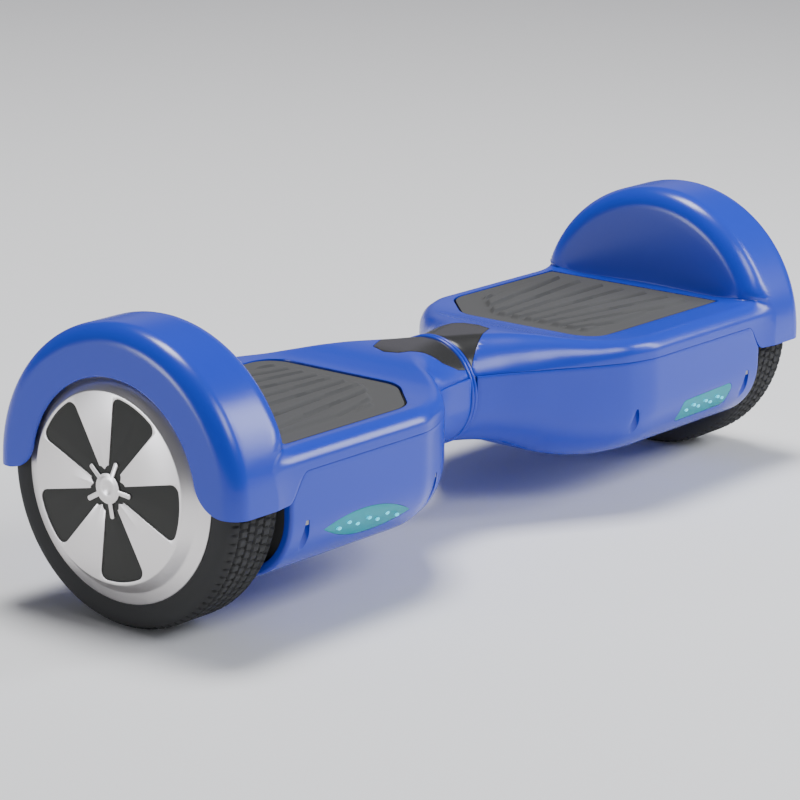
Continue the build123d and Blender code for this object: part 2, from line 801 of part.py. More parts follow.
def make_sensor_board(side):
    """Tilt sensor board under the foot pad, with the four pressure switches."""
    top = sensor_board_z + board_thickness
    chip = 2 * board_thickness
    with BuildPart() as sensor_board:
        with BuildSketch(Plane.XY.offset(sensor_board_z + 0.05)):
            with Locations((board_middle, 0)):
                RectangleRounded(sensor_board_length, 2 * sensor_board_half_width, 3)
        extrude(amount=board_thickness)
        with BuildSketch(Plane.XY.offset(top)):
            with Locations((board_middle, 0), (board_middle - 6, 20), (board_middle + 4, -22)):
                Rectangle(10, 10)
        extrude(amount=chip / 2)
        add(columns(peg_places(), peg_radius - 0.5, top, top + 0.4))
    return sensor_board.part


def make_motor_axle(side):
    """Fixed steel axle of the hub motor, thicker under the stator and thin at its outer end."""
    shoulder_x = bearing_x + inner_bearing_width
    with BuildPart() as motor_axle:
        add(rod(across(axle_start), axle_radius, shoulder_x - axle_start))
        add(rod(across(shoulder_x), axle_shoulder_radius, outer_bearing_x - shoulder_x))
        add(rod(across(outer_bearing_x), axle_tip_radius, outer_bearing_width - 0.5))
        add(rod(across(axle_start - 1), axle_wire_bore, clamp_length + 30), mode=Mode.SUBTRACT)
        chamfer(motor_axle.faces().sort_by(Axis.X)[-1].edges(), length=0.8)
    return motor_axle.part


def make_stator(side):
    """Laminated iron core on the axle."""
    tooth_length = stator_radius - stator_hub_radius
    with BuildPart() as stator:
        with BuildSketch(across(stator_x)):
            Circle(stator_hub_radius)
            with PolarLocations((stator_radius + stator_hub_radius) / 2, stator_teeth):
                Rectangle(tooth_length, tooth_width)
            with PolarLocations(stator_radius - tooth_head_depth / 2, stator_teeth):
                Rectangle(tooth_head_depth, tooth_head_width)
            Circle(stator_radius, mode=Mode.INTERSECT)
            with PolarLocations((axle_shoulder_radius + stator_hub_radius) / 2, 6):
                Circle(4, mode=Mode.SUBTRACT)
            Circle(axle_shoulder_radius + fit_clearance, mode=Mode.SUBTRACT)
        extrude(amount=stator_width)
    return stator.part


def make_windings(side):
    """Copper coils, one round each tooth."""
    inner = stator_hub_radius + 1.0
    outer = stator_radius - tooth_head_depth - 0.6
    middle = (inner + outer) / 2
    with BuildPart() as windings:
        with BuildSketch(across(stator_x - 2)):
            with PolarLocations(middle, stator_teeth):
                Rectangle(outer - inner, tooth_width + 2 * winding_build)
        extrude(amount=stator_width + 4)
        with BuildSketch(across(stator_x - 0.05)):
            with PolarLocations(middle, stator_teeth):
                Rectangle(outer - inner + 4, tooth_width + 0.2)
        extrude(amount=stator_width + 0.1, mode=Mode.SUBTRACT)
    return windings.part


def make_magnets(side):
    """Ring of flat magnets inside the wheel's barrel."""
    with BuildPart() as magnets:
        with BuildSketch(across(stator_x - 1)):
            with PolarLocations((magnet_inner_radius + magnet_outer_radius) / 2, magnet_count):
                Rectangle(magnet_thickness, magnet_width)
        extrude(amount=stator_width + 2)
    return magnets.part


def bearing_ring(start_x, inner, outer, width):
    """Ball bearing as one ring, with a groove in each face between its two races."""
    race = (inner + outer) / 2
    groove = 0.18 * (outer - inner)
    with BuildPart() as bearing:
        with BuildSketch(across(start_x)):
            Circle(outer)
            Circle(inner, mode=Mode.SUBTRACT)
        extrude(amount=width)
        for face_x, way in ((start_x, 1), (start_x + width, -1)):
            with BuildSketch(across(face_x)):
                Circle(race + groove)
                Circle(race - groove, mode=Mode.SUBTRACT)
            extrude(amount=way * 0.6, mode=Mode.SUBTRACT)
    return bearing.part


def make_wheel_bearings(side):
    """The two ball bearings that the wheel turns on."""
    inner_bore = axle_radius + running_clearance
    outer_bore = axle_tip_radius + running_clearance
    with BuildPart() as wheel_bearings:
        add(bearing_ring(bearing_x, inner_bore, inner_bearing_radius, inner_bearing_width - 0.2))
        add(bearing_ring(outer_bearing_x + 0.2, outer_bore, outer_bearing_radius, outer_bearing_width - 0.3))
    return wheel_bearings.part


def petal_face():
    """Outline of the black inlay: five petals that meet in the middle, seen along the axle."""
    half_step = 180 / petal_count
    step = math.radians(half_step)
    with BuildSketch() as inlay:
        for number in range(petal_count):
            with Locations(Rotation(0, 0, petal_angle + number * 360 / petal_count)):
                with BuildSketch(mode=Mode.PRIVATE) as petal:
                    with BuildLine():
                        reach = petal_outer_radius
                        edge = (math.sqrt(reach**2 - petal_half_width**2), petal_half_width)
                        root_half_width = petal_tip_radius * math.sin(step) * petal_root_share
                        root = (petal_tip_radius * math.cos(step), root_half_width)
                        Line((0, 0), root)
                        Line(root, edge)
                        ThreePointArc(edge, (reach, 0), (edge[0], -edge[1]))
                        Line((edge[0], -edge[1]), (root[0], -root[1]))
                        Line((root[0], -root[1]), (0, 0))
                    make_face()
                    fillet(petal.vertices().group_by(Axis.X)[-1], radius=petal_corner)
                add(petal.sketch)
        Circle(petal_tip_radius - 0.5)
    return inlay.sketch


def make_wheel_petals(side):
    """Black inlay in the wheel's face."""
    floor_x = wheel_face_x - petal_depth
    with BuildPart() as wheel_petals:
        with BuildSketch(across(floor_x + petal_clearance)):
            add(petal_face())
            offset(amount=-petal_clearance)
        extrude(amount=petal_depth - petal_recess - petal_clearance)
    return wheel_petals.part


def make_wheel_spider(side):
    """Small five armed star in the middle of the wheel's face."""
    with BuildPart() as wheel_spider:
        with BuildSketch(across(wheel_face_x - petal_recess + 0.05)):
            Circle(spider_radius)
            for number in range(petal_count):
                with Locations(Rotation(0, 0, petal_angle + number * 360 / petal_count)):
                    with Locations((spider_arm_length / 2, 0)):
                        Rectangle(spider_arm_length, spider_arm_width)
        extrude(amount=petal_recess + 0.4)
    return wheel_spider.part


def make_wheel_rim(side):
    """Cast wheel: polished face, bevel and lip, the tyre's seat and the barrel round the magnets."""
    bevel_x = wheel_face_x - wheel_bevel_depth
    bevel_radius = wheel_face_radius + wheel_bevel_width
    side_view = Plane(origin=(0, 0, axle_height), x_dir=(1, 0, 0), z_dir=(0, -1, 0))
    boss_x = outer_bearing_x - 1
    bearing_bore = outer_bearing_radius + fit_clearance
    with BuildPart() as wheel_rim:
        with BuildSketch(side_view):
            with BuildLine():
                Polyline(
                    (wheel_face_x, 0),
                    (wheel_face_x, wheel_face_radius),
                    (bevel_x, bevel_radius),
                    (lip_x, rim_lip_radius),
                    (lip_x - rim_lip, rim_lip_radius),
                    (lip_x - rim_lip, rim_seat_radius),
                    (barrel_back_x, rim_seat_radius),
                    (barrel_back_x, magnet_seat_radius),
                    (face_back_x, magnet_seat_radius),
                    (face_back_x, bearing_bore + 6),
                    (boss_x, bearing_bore + 6),
                    (boss_x, bearing_bore),
                    (face_back_x, bearing_bore),
                    (face_back_x, 0),
                    close=True,
                )
            make_face()
        revolve(axis=Axis((0, 0, axle_height), (1, 0, 0)))
        with BuildSketch(across(wheel_face_x - petal_depth)):
            add(petal_face())
        extrude(amount=petal_depth + 1, mode=Mode.SUBTRACT)
        with BuildSketch(across(barrel_back_x)):
            with PolarLocations(hub_screw_orbit, hub_screw_count):
                Circle(hub_screw_radius + fit_clearance)
        extrude(amount=10, mode=Mode.SUBTRACT)
    return wheel_rim.part


def make_motor_cover(side):
    """Back plate of the wheel, which holds the inner bearing and the tyre's inner edge."""
    bore = inner_bearing_radius + fit_clearance
    with BuildPart() as motor_cover:
        with BuildSketch(across(bearing_x)):
            Circle(rim_lip_radius)
        extrude(amount=back_cover_thickness - 0.05)
        with BuildSketch(across(bearing_x)):
            Circle(bore + 4.5)
        extrude(amount=inner_bearing_width)
        with BuildSketch(across(bearing_x - 1)):
            Circle(bore)
            with PolarLocations(hub_screw_orbit, hub_screw_count):
                Circle(hub_screw_radius + fit_clearance)
        extrude(amount=inner_bearing_width + 2, mode=Mode.SUBTRACT)
    return motor_cover.part


def make_hub_screws(side):
    """Screws that hold the back plate to the barrel."""
    with BuildPart() as hub_screws:
        with BuildSketch(across(bearing_x - 1.5)):
            with PolarLocations(hub_screw_orbit, hub_screw_count):
                Circle(1.7 * hub_screw_radius)
        extrude(amount=1.45)
        with BuildSketch(across(bearing_x - 0.5)):
            with PolarLocations(hub_screw_orbit, hub_screw_count):
                Circle(hub_screw_radius)
        extrude(amount=back_cover_thickness + 9)
    return hub_screws.part


def make_tyre(side):
    """Solid rubber tyre with round shoulders and flat blocks across its tread."""
    seat = rim_seat_radius + running_clearance
    lip = rim_lip_radius + running_clearance
    back = barrel_back_x + running_clearance
    front = lip_x - rim_lip - running_clearance
    side_view = Plane(origin=(0, 0, axle_height), x_dir=(1, 0, 0), z_dir=(0, -1, 0))
    with BuildPart() as tyre:
        with BuildSketch(side_view):
            with BuildLine():
                Polyline(
                    (back, seat),
                    (front, seat),
                    (front, lip),
                    (tyre_outer_x, lip),
                    (tyre_outer_x, tread_radius - tyre_shoulder),
                )
                ThreePointArc(
                    (tyre_outer_x, tread_radius - tyre_shoulder),
                    (tyre_outer_x - 0.3 * tyre_shoulder, tread_radius - 0.3 * tyre_shoulder),
                    (tyre_outer_x - tyre_shoulder, tread_radius),
                )
                Line((tyre_outer_x - tyre_shoulder, tread_radius), (tyre_inner_x + tyre_shoulder, tread_radius))
                ThreePointArc(
                    (tyre_inner_x + tyre_shoulder, tread_radius),
                    (tyre_inner_x + 0.3 * tyre_shoulder, tread_radius - 0.3 * tyre_shoulder),
                    (tyre_inner_x, tread_radius - tyre_shoulder),
                )
                Polyline(
                    (tyre_inner_x, tread_radius - tyre_shoulder),
                    (tyre_inner_x, lip),
                    (back, lip),
                    (back, seat),
                )
            make_face()
        revolve(axis=Axis((0, 0, axle_height), (1, 0, 0)))
        with BuildSketch(Plane(origin=(tyre_inner_x, 0, axle_height), x_dir=(0, 1, 0), z_dir=(1, 0, 0))):
            RegularPolygon(radius=tread_radius, side_count=tread_bars, rotation=180 / tread_bars)
        extrude(amount=tyre_width, mode=Mode.INTERSECT)
    return tyre.part


def make_pivot_tube():
    """Steel tube that joins the halves, fixed in the left boss and free in the right one."""
    groove_x = pivot_reach + bush_flange + 0.3
    with BuildPart() as pivot_tube:
        add(rod(across(-pivot_reach), pivot_radius, 2 * pivot_reach + 6))
        with BuildSketch(across(groove_x)):
            Circle(pivot_radius + 1)
            Circle(pivot_radius - 1, mode=Mode.SUBTRACT)
        extrude(amount=circlip_width + 0.1, mode=Mode.SUBTRACT)
        add(rod(across(-pivot_reach - 1), pivot_bore, 2 * pivot_reach + 9), mode=Mode.SUBTRACT)
    return pivot_tube.part


def make_pivot_circlip():
    """Open spring ring in the tube's groove that keeps the right half on."""
    with BuildPart() as pivot_circlip:
        with BuildSketch(across(pivot_reach + bush_flange + 0.35)):
            Circle(pivot_radius + 3.5)
            Circle(pivot_radius - 0.9, mode=Mode.SUBTRACT)
            with Locations((0, -pivot_radius)):
                Rectangle(7, 12, mode=Mode.SUBTRACT)
        extrude(amount=circlip_width)
    return pivot_circlip.part


def make_pivot_bushes():
    """Two flanged bushes in the right boss that the tube turns in."""
    bore = pivot_radius + running_clearance
    with BuildPart() as pivot_bushes:
        for end_x, way in ((boss_start, 1), (pivot_reach, -1)):
            add(rod(across(end_x), bush_radius, way * bush_length))
            add(rod(across(end_x), bush_radius + 2, -way * bush_flange))
        add(rod(across(0), bore, pivot_reach + 10), mode=Mode.SUBTRACT)
    return pivot_bushes.part


def make_pivot_spacer():
    """Steel sleeve on the tube that sets the gap between the two halves."""
    start_x = -boss_start + 0.1
    end_x = boss_start - bush_flange - 0.15
    with BuildPart() as pivot_spacer:
        add(rod(across(start_x), bush_radius + 1, end_x - start_x))
        add(rod(across(start_x - 1), pivot_radius + running_clearance, end_x - start_x + 2), mode=Mode.SUBTRACT)
    return pivot_spacer.part


def make_stop_pin():
    """Pin fixed in the left boss that runs in the right boss's short slot and limits the twist."""
    height = axle_height + pin_orbit
    start = Plane(origin=(-boss_start - stop_pin_depth, 0, height), x_dir=(0, 1, 0), z_dir=(1, 0, 0))
    return rod(start, stop_pin_radius, 2 * boss_start + 2 * stop_pin_depth - 1)


def make_centre_ring():
    """Trim ring between the two halves."""
    with BuildPart() as centre_ring:
        with BuildSketch(across(-ring_width / 2)):
            Circle(neck_radius + ring_stand)
            Circle(neck_radius - shell_wall, mode=Mode.SUBTRACT)
        extrude(amount=ring_width)
        fillet(centre_ring.edges().filter_by(GeomType.CIRCLE).sort_by(SortBy.RADIUS)[-2:], radius=1.2)
    return centre_ring.part


def make_battery_pack():
    """Lithium cells in a shrink wrapped block on the right half's belly."""
    floor = belly_z + shell_wall + seam_gap
    top = main_board_z + board_thickness - battery_gap
    with BuildPart() as battery_pack:
        with BuildSketch(Plane.XY.offset(floor)):
            with Locations((board_middle, 0)):
                RectangleRounded(battery_length, 2 * battery_half_width, battery_corner)
        extrude(amount=top - floor)
        fillet(battery_pack.edges().filter_by(Axis.Z, reverse=True).group_by(Axis.Z)[-1], radius=battery_edge)
    return battery_pack.part


def make_main_board():
    """Motor control board under the left chassis, with its switching transistors and capacitors."""
    with BuildPart() as main_board:
        with BuildSketch(Plane.XY.offset(main_board_z)):
            with Locations((board_middle, 0)):
                RectangleRounded(main_board_length, 2 * main_board_half_width, 3)
        extrude(amount=board_thickness - 0.05)
        with BuildSketch(Plane.XY.offset(main_board_z)):
            with Locations((board_middle, 0)):
                with GridLocations(transistor_pitch, transistor_rows_apart, 4, 2):
                    Rectangle(transistor_length, transistor_width)
        extrude(amount=-transistor_height)
        with BuildSketch(Plane.XY.offset(main_board_z)):
            with Locations((board_middle, 0)):
                with GridLocations(2 * capacitor_reach, 1, 2, 1):
                    Circle(capacitor_radius)
        extrude(amount=-capacitor_height)
    return main_board.part


def make_power_button():
    """Push button in the left half's rear flank, with its retaining flange and stem."""
    face = body_half_width + button_stand
    inside = body_half_width - shell_wall - seam_gap
    with BuildPart() as power_button:
        add(rod(socket_plane(button_x, inside), button_radius, face - inside))
        fillet(power_button.faces().sort_by(Axis.Y)[0].edges(), radius=0.8)
        add(rod(socket_plane(button_x, inside), button_radius + button_flange, -button_flange_depth))
        add(rod(socket_plane(button_x, inside), button_stem_radius, -button_stem_length))
    return power_button.part


def make_button_switch():
    """Switch cup behind the power button, seated on the inside of the flank."""
    inside = body_half_width - shell_wall - 0.2
    pocket = button_flange_depth + button_travel + 0.4
    well = button_stem_length + button_travel + 0.5
    with BuildPart() as button_switch:
        add(rod(socket_plane(button_x, inside), button_radius + switch_wall, -switch_depth))
        cup = button_radius + button_flange + seam_gap
        add(rod(socket_plane(button_x, inside + 1), cup, -pocket - 1), mode=Mode.SUBTRACT)
        add(rod(socket_plane(button_x, inside), button_stem_radius + 0.1, -well), mode=Mode.SUBTRACT)
    return button_switch.part


def make_charging_port():
    """Round socket for the charger's plug in the left half's rear flank."""
    outside = body_half_width + 0.05
    face = outside + 1.4
    with BuildPart() as charging_port:
        add(rod(socket_plane(port_x, outside), port_radius, face - outside))
        fillet(charging_port.faces().sort_by(Axis.Y)[0].edges(), radius=0.6)
        add(rod(socket_plane(port_x, outside), port_radius - port_flange, -port_depth))
        add(rod(socket_plane(port_x, face), port_bore, 3 - port_depth), mode=Mode.SUBTRACT)
    return charging_port.part


def make_speaker():
    """Small loudspeaker over the sound slots of the left belly."""
    floor = belly_z + shell_wall + seam_gap
    with BuildPart() as speaker:
        with BuildSketch(Plane.XY.offset(floor)):
            with Locations((speaker_x, 0)):
                Circle(speaker_radius)
        extrude(amount=speaker_foot)
        with BuildSketch(Plane.XY.offset(floor + speaker_foot)):
            with Locations((speaker_x, 0)):
                Circle(speaker_radius - 1)
        extrude(amount=speaker_height - 2 * speaker_foot, taper=speaker_taper)
        with BuildSketch(Plane.XY.offset(floor + speaker_height - speaker_foot)):
            with Locations((speaker_x, 0)):
                Circle(speaker_radius * speaker_magnet_share)
        extrude(amount=speaker_magnet_height)
    return speaker.part


paired_makers = (
    make_top_cover,
    make_bottom_cover,
    make_centre_cover,
    make_fender,
    make_foot_pad,
    make_led_lens,
    make_led_board,
    make_chassis,
    make_axle_clamp,
    make_clamp_screws,
    make_cover_screws,
    make_sensor_board,
    make_motor_axle,
    make_stator,
    make_windings,
    make_magnets,
    make_wheel_bearings,
    make_wheel_rim,
    make_wheel_petals,
    make_wheel_spider,
    make_motor_cover,
    make_hub_screws,
    make_tyre,
)
# single pieces, with the half turn that puts each where it belongs
single_makers = (
    (make_pivot_tube, 0),
    (make_pivot_circlip, 0),
    (make_pivot_bushes, 0),
    (make_pivot_spacer, 0),
    (make_stop_pin, 0),
    (make_centre_ring, 0),
    (make_battery_pack, 0),
    (make_main_board, 180),
    (make_power_button, 180),
    (make_button_switch, 180),
    (make_charging_port, 180),
    (make_speaker, 180),
)


def write_piece(piece, turn, label):
    """Turn a piece about Z into its place, label it and write its STEP file."""
    with BuildPart() as placed:
        add(piece, rotation=(0, 0, turn))
    placed.part.label = label
    export_step(placed.part, "parts/" + label + ".step")


os.makedirs("parts", exist_ok=True)
for maker in paired_makers:
    for side, turn in (("right", 0), ("left", 180)):
        write_piece(maker(side), turn, maker.__name__.removeprefix("make_") + "_" + side)
for maker, turn in single_makers:
    write_piece(maker(), turn, maker.__name__.removeprefix("make_"))
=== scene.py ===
"""Looks of a self balancing two wheel board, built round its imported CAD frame."""

import json
import logging
import math
from dataclasses import dataclass, field
from enum import Enum
from typing import Callable, Sequence

import bmesh
import bpy
from mathutils import Matrix, Vector


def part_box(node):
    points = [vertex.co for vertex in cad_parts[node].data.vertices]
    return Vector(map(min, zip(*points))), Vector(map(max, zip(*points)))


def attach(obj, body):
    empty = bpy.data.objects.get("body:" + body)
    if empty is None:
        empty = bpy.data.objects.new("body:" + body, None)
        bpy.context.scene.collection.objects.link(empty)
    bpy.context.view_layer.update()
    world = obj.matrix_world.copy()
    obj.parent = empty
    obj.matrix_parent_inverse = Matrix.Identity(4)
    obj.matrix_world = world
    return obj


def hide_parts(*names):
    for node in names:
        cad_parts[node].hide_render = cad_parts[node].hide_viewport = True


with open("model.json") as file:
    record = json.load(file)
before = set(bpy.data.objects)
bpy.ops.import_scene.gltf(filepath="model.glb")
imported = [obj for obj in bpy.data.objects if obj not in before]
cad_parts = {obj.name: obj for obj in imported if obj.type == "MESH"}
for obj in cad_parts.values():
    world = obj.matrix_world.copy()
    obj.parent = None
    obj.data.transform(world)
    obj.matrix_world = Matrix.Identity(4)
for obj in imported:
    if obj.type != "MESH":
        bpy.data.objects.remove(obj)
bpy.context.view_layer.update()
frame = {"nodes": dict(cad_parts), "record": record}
MM = 0.001
LOG = logging.getLogger("board")

Point2 = tuple[float, float]
Point3 = tuple[float, float, float]
Colour = tuple[float, float, float]


class Side(Enum):
    """The two halves. The left half is the right half turned half a turn about Z."""

    LEFT = "left"
    RIGHT = "right"

    @property
    def turn(self) -> float:
        """Sign of X and Y in this half: 1 on the right, -1 on the left."""
        return 1.0 if self is Side.RIGHT else -1.0

    @property
    def half_body(self) -> str:
        """Name of the CAD body that the shell of this half rides on."""
        return f"{self.value}_half"


class Cut(Enum):
    """What a boolean does with its tool."""

    REMOVE = "DIFFERENCE"
    KEEP = "INTERSECT"
    JOIN = "UNION"


# ---- small helpers -----------------------------------------------------------------------------


def mix(start: float, end: float, share: float) -> float:
    """Value at a share of the way from start to end."""
    return start + (end - start) * share


def clamp(value: float, low: float = 0.0, high: float = 1.0) -> float:
    """Value held between low and high."""
    return max(low, min(high, value))


def smooth(share: float) -> float:
    """Smooth step from 0 to 1."""
    share = clamp(share)
    return share * share * (3.0 - 2.0 * share)


def spaced(start: float, end: float, count: int) -> list[float]:
    """Count + 1 even values from start to end, both included."""
    return [mix(start, end, i / count) for i in range(count + 1)]


def arc(centre: Point2, radius: float, start: float, sweep: float, count: int) -> list[Point2]:
    """Points along an arc.

    Args:
        centre: Middle of the arc.
        radius: Its radius.
        start: First angle in degrees.
        sweep: Turn in degrees.
        count: Number of steps.

    Returns:
        Count + 1 points, both ends included.
    """
    angles = [math.radians(a) for a in spaced(start, start + sweep, count)]
    return [(centre[0] + radius * math.cos(a), centre[1] + radius * math.sin(a)) for a in angles]


def rounded(corners: Sequence[Point2], radii: Sequence[float], steps: int = 6) -> list[Point2]:
    """Closed outline with each corner replaced by an arc.

    Args:
        corners: Corners in order.
        radii: One radius for each corner, 0 for a sharp one.
        steps: Steps along each arc.

    Returns:
        The points of the rounded outline.
    """
    out: list[Point2] = []
    for i, corner in enumerate(corners):
        here = Vector(corner)
        back = (Vector(corners[i - 1]) - here).normalized()
        ahead = (Vector(corners[(i + 1) % len(corners)]) - here).normalized()
        if radii[i] <= 0:
            out.append(corner)
            continue
        half = math.acos(clamp(back.dot(ahead), -1, 1)) / 2
        middle = here + (back + ahead).normalized() * (radii[i] / math.sin(half))
        start = here + back * (radii[i] / math.tan(half)) - middle
        end = here + ahead * (radii[i] / math.tan(half)) - middle
        turn = math.atan2(start.x * end.y - start.y * end.x, start.dot(end))
        first = math.atan2(start.y, start.x)
        for a in spaced(first, first + turn, steps):
            out.append((middle.x + radii[i] * math.cos(a), middle.y + radii[i] * math.sin(a)))
    return out


def along(line: Sequence[Point2], places: Sequence[float]) -> list[Point2]:
    """Points at the given lengths along a line of points.

    Args:
        line: Points in order.
        places: Lengths from the line's start, rising.

    Returns:
        One point for each place.
    """
    steps = [math.dist(a, b) for a, b in zip(line, line[1:])]
    out: list[Point2] = []
    i, run = 0, 0.0
    for place in places:
        while i < len(steps) - 1 and run + steps[i] < place:
            run += steps[i]
            i += 1
        share = clamp((place - run) / steps[i]) if steps[i] > 1e-9 else 0.0
        out.append((mix(line[i][0], line[i + 1][0], share), mix(line[i][1], line[i + 1][1], share)))
    return out


def length_of(line: Sequence[Point2]) -> float:
    """Length of a line of points."""
    return sum(math.dist(a, b) for a, b in zip(line, line[1:]))


@dataclass
class Shape:
    """A mesh under construction: points in millimetres, drawn as the right half, and faces."""

    points: list[Point3] = field(default_factory=list)
    faces: list[tuple[int, ...]] = field(default_factory=list)

    def grid(self, rows: Sequence[Sequence[Point3]], closed: bool = False) -> "Shape":
        """Adds a sheet of quads over rows of points.

        Args:
            rows: Rows with as many points each.
            closed: Whether each row joins back to its start.

        Returns:
            This shape.
        """
        base, wide = len(self.points), len(rows[0])
        for row in rows:
            self.points.extend(row)
        for r in range(len(rows) - 1):
            for c in range(wide if closed else wide - 1):
                a, b = base + r * wide + c, base + r * wide + (c + 1) % wide
                self.faces.append((a, b, b + wide, a + wide))
        return self

    def prism(self, outline: Sequence[
        Point2
    ], place: Callable[[float, float, float], Point3], low: float, high: float) -> "Shape":
        """Adds a closed block over an outline.

        Args:
            outline: Points of the outline, in order.
            place: Turns (u, v, depth) into a point.
            low: First depth.
            high: Second depth.

        Returns:
            This shape.
        """
        base, wide = len(self.points), len(outline)
        self.grid([[place(u, v, depth) for u, v in outline] for depth in (low, high)], closed=True)
        self.faces.append(tuple(range(base + wide - 1, base - 1, -1)))
        self.faces.append(tuple(range(base + wide, base + 2 * wide)))
        return self

    def lathe(self, profile: Sequence[Point2], axle: float, steps: int, closed: bool = True) -> "Shape":
        """Adds a turned shape about the axle line.

        Args:
            profile: (x, radius) points in order.
            axle: Height of the axle line.
            steps: Steps round the turn.
            closed: Whether the profile joins back to its start.

        Returns:
            This shape.
        """
        base, tall = len(self.points), len(profile)
        for s in range(steps):
            a = 2 * math.pi * s / steps
            self.points.extend((x, r * math.cos(a), axle + r * math.sin(a)) for x, r in profile)
        for s in range(steps):
            for p in range(tall if closed else tall - 1):
                q, t = (p + 1) % tall, (s + 1) % steps
                self.faces.append(
                    (base + s * tall + p, base + s * tall + q, base + t * tall + q, base + t * tall + p)
                )
        return self

    def make(self, name: str, side: Side = Side.RIGHT) -> bpy.types.Object:
        """Turns the shape into an object in metres.

        Args:
            name: Name of the new object.
            side: The half that it belongs to.

        Returns:
            The new object.
        """
        mesh = bpy.data.meshes.new(name)
        turn = side.turn
        mesh.from_pydata([(turn * x * MM, turn * y * MM, z * MM) for x, y, z in self.points], [], self.faces)
        mesh.validate()
        mesh.update()
        made = bpy.data.objects.new(name, mesh)
        bpy.context.scene.collection.objects.link(made)
        return made


def upright(x: float, y: float, z: float) -> Point3:
    """Places an outline in plan, with its depth upward."""
    return (x, y, z)


def outward(x: float, z: float, y: float) -> Point3:
    """Places an outline on a flank, with its depth along Y."""
    return (x, y, z)


def apply_modifiers(made: bpy.types.Object) -> bpy.types.Object:
    """Replaces an object's mesh by its mesh with the modifiers worked out.

    Args:
        made: The object with modifiers.

    Returns:
        The same object.
    """
    graph = bpy.context.evaluated_depsgraph_get()
    mesh = bpy.data.meshes.new_from_object(made.evaluated_get(graph))
    old = made.data
    made.modifiers.clear()
    made.data = mesh
    bpy.data.meshes.remove(old)
    return made


def face_out(made: bpy.types.Object) -> bpy.types.Object:
    """Points the faces of a closed mesh outward and merges doubled points.

    Args:
        made: The object to mend.

    Returns:
        The same object.
    """
    work = bmesh.new()
    work.from_mesh(made.data)
    bmesh.ops.remove_doubles(work, verts=work.verts, dist=1e-7)
    bmesh.ops.dissolve_degenerate(work, edges=work.edges, dist=1e-8)
    bmesh.ops.recalc_face_normals(work, faces=work.faces)
    work.to_mesh(made.data)
    work.free()
    return made


def thicken(made: bpy.types.Object, wall: float) -> bpy.types.Object:
    """Gives a sheet a wall on its inner side, in millimetres."""
    rule = made.modifiers.new("wall", "SOLIDIFY")
    rule.thickness = wall * MM
    rule.offset = -1.0
    rule.use_even_offset = False
    return face_out(apply_modifiers(made))


def combine(made: bpy.types.Object, tool: bpy.types.Object, cut: Cut) -> bpy.types.Object:
    """Works one closed mesh on another and removes the tool.

    Args:
        made: Object that is changed.
        tool: Object that cuts or joins it.
        cut: What the tool does.

    Returns:
        The changed object.
    """
    rule = made.modifiers.new("cut", "BOOLEAN")
    rule.operation = cut.value
    rule.solver = "MANIFOLD"
    rule.object = tool
    before = len(made.data.polygons)
    apply_modifiers(made)
    LOG.debug("%s: %s faces, was %s", made.name, len(made.data.polygons), before)
    if not made.data.polygons:
        raise RuntimeError(f"cutting left nothing of {made.name}")
    bpy.data.objects.remove(tool, do_unlink=True)
    return made


def copy_of(made: bpy.types.Object, name: str) -> bpy.types.Object:
    """A new object with its own copy of the mesh."""
    twin = bpy.data.objects.new(name, made.data.copy())
    bpy.context.scene.collection.objects.link(twin)
    return twin


def soften(made: bpy.types.Object, width: float, angle: float = 35.0, steps: int = 2) -> bpy.types.Object:
    """Rounds the sharp edges and shades the rest smooth.

    Args:
        made: Object to round.
        width: Width of the rounding in millimetres, 0 for none.
        angle: Edges sharper than this, in degrees, are rounded.
        steps: Steps across the rounding.

    Returns:
        The rounded object.
    """
    if width > 0:
        rule = made.modifiers.new("edge", "BEVEL")
        rule.width = width * MM
        rule.segments = steps
        rule.limit_method = "ANGLE"
        rule.angle_limit = math.radians(angle)
        rule.use_clamp_overlap = True
        rule.miter_outer = "MITER_ARC"
        apply_modifiers(made)
    made.data.shade_smooth()
    made.data.set_sharp_from_angle(angle=math.radians(angle + 5.0))
    return made


# ---- shader parts ------------------------------------------------------------------------------


@dataclass(frozen=True)
class Effect:
    """A shader node group with named inputs and outputs, built once and shared by materials."""

    name: str
    inputs: tuple[tuple[str, float], ...]
    outputs: tuple[str, ...]
    build: Callable[[bpy.types.NodeTree, bpy.types.Node, bpy.types.Node], None]

    def tree(self) -> bpy.types.NodeTree:
        """The node group, made the first time that it is asked for."""
        made = bpy.data.node_groups.get(self.name)
        if made is None:
            made = bpy.data.node_groups.new(self.name, "ShaderNodeTree")
            for label, value in self.inputs:
                socket = made.interface.new_socket(label, in_out="INPUT", socket_type="NodeSocketFloat")
                socket.default_value = value
            for label in self.outputs:
                made.interface.new_socket(label, in_out="OUTPUT", socket_type="NodeSocketFloat")
            self.build(made, made.nodes.new("NodeGroupInput"), made.nodes.new("NodeGroupOutput"))
        return made


def noise(tree: bpy.types.NodeTree, detail: float = 3.0, rough: float = 0.5) -> bpy.types.Node:
    """A noise texture over object coordinates.

    Args:
        tree: Node tree to add it to.
        detail: Octaves of detail.
        rough: Share that each octave keeps.

    Returns:
        The noise node.
    """
    where = tree.nodes.new("ShaderNodeTexCoord")
    made = tree.nodes.new("ShaderNodeTexNoise")
    made.inputs["Detail"].default_value = detail
    made.inputs["Roughness"].default_value = rough
    tree.links.new(where.outputs["Object"], made.inputs["Vector"])
    return made


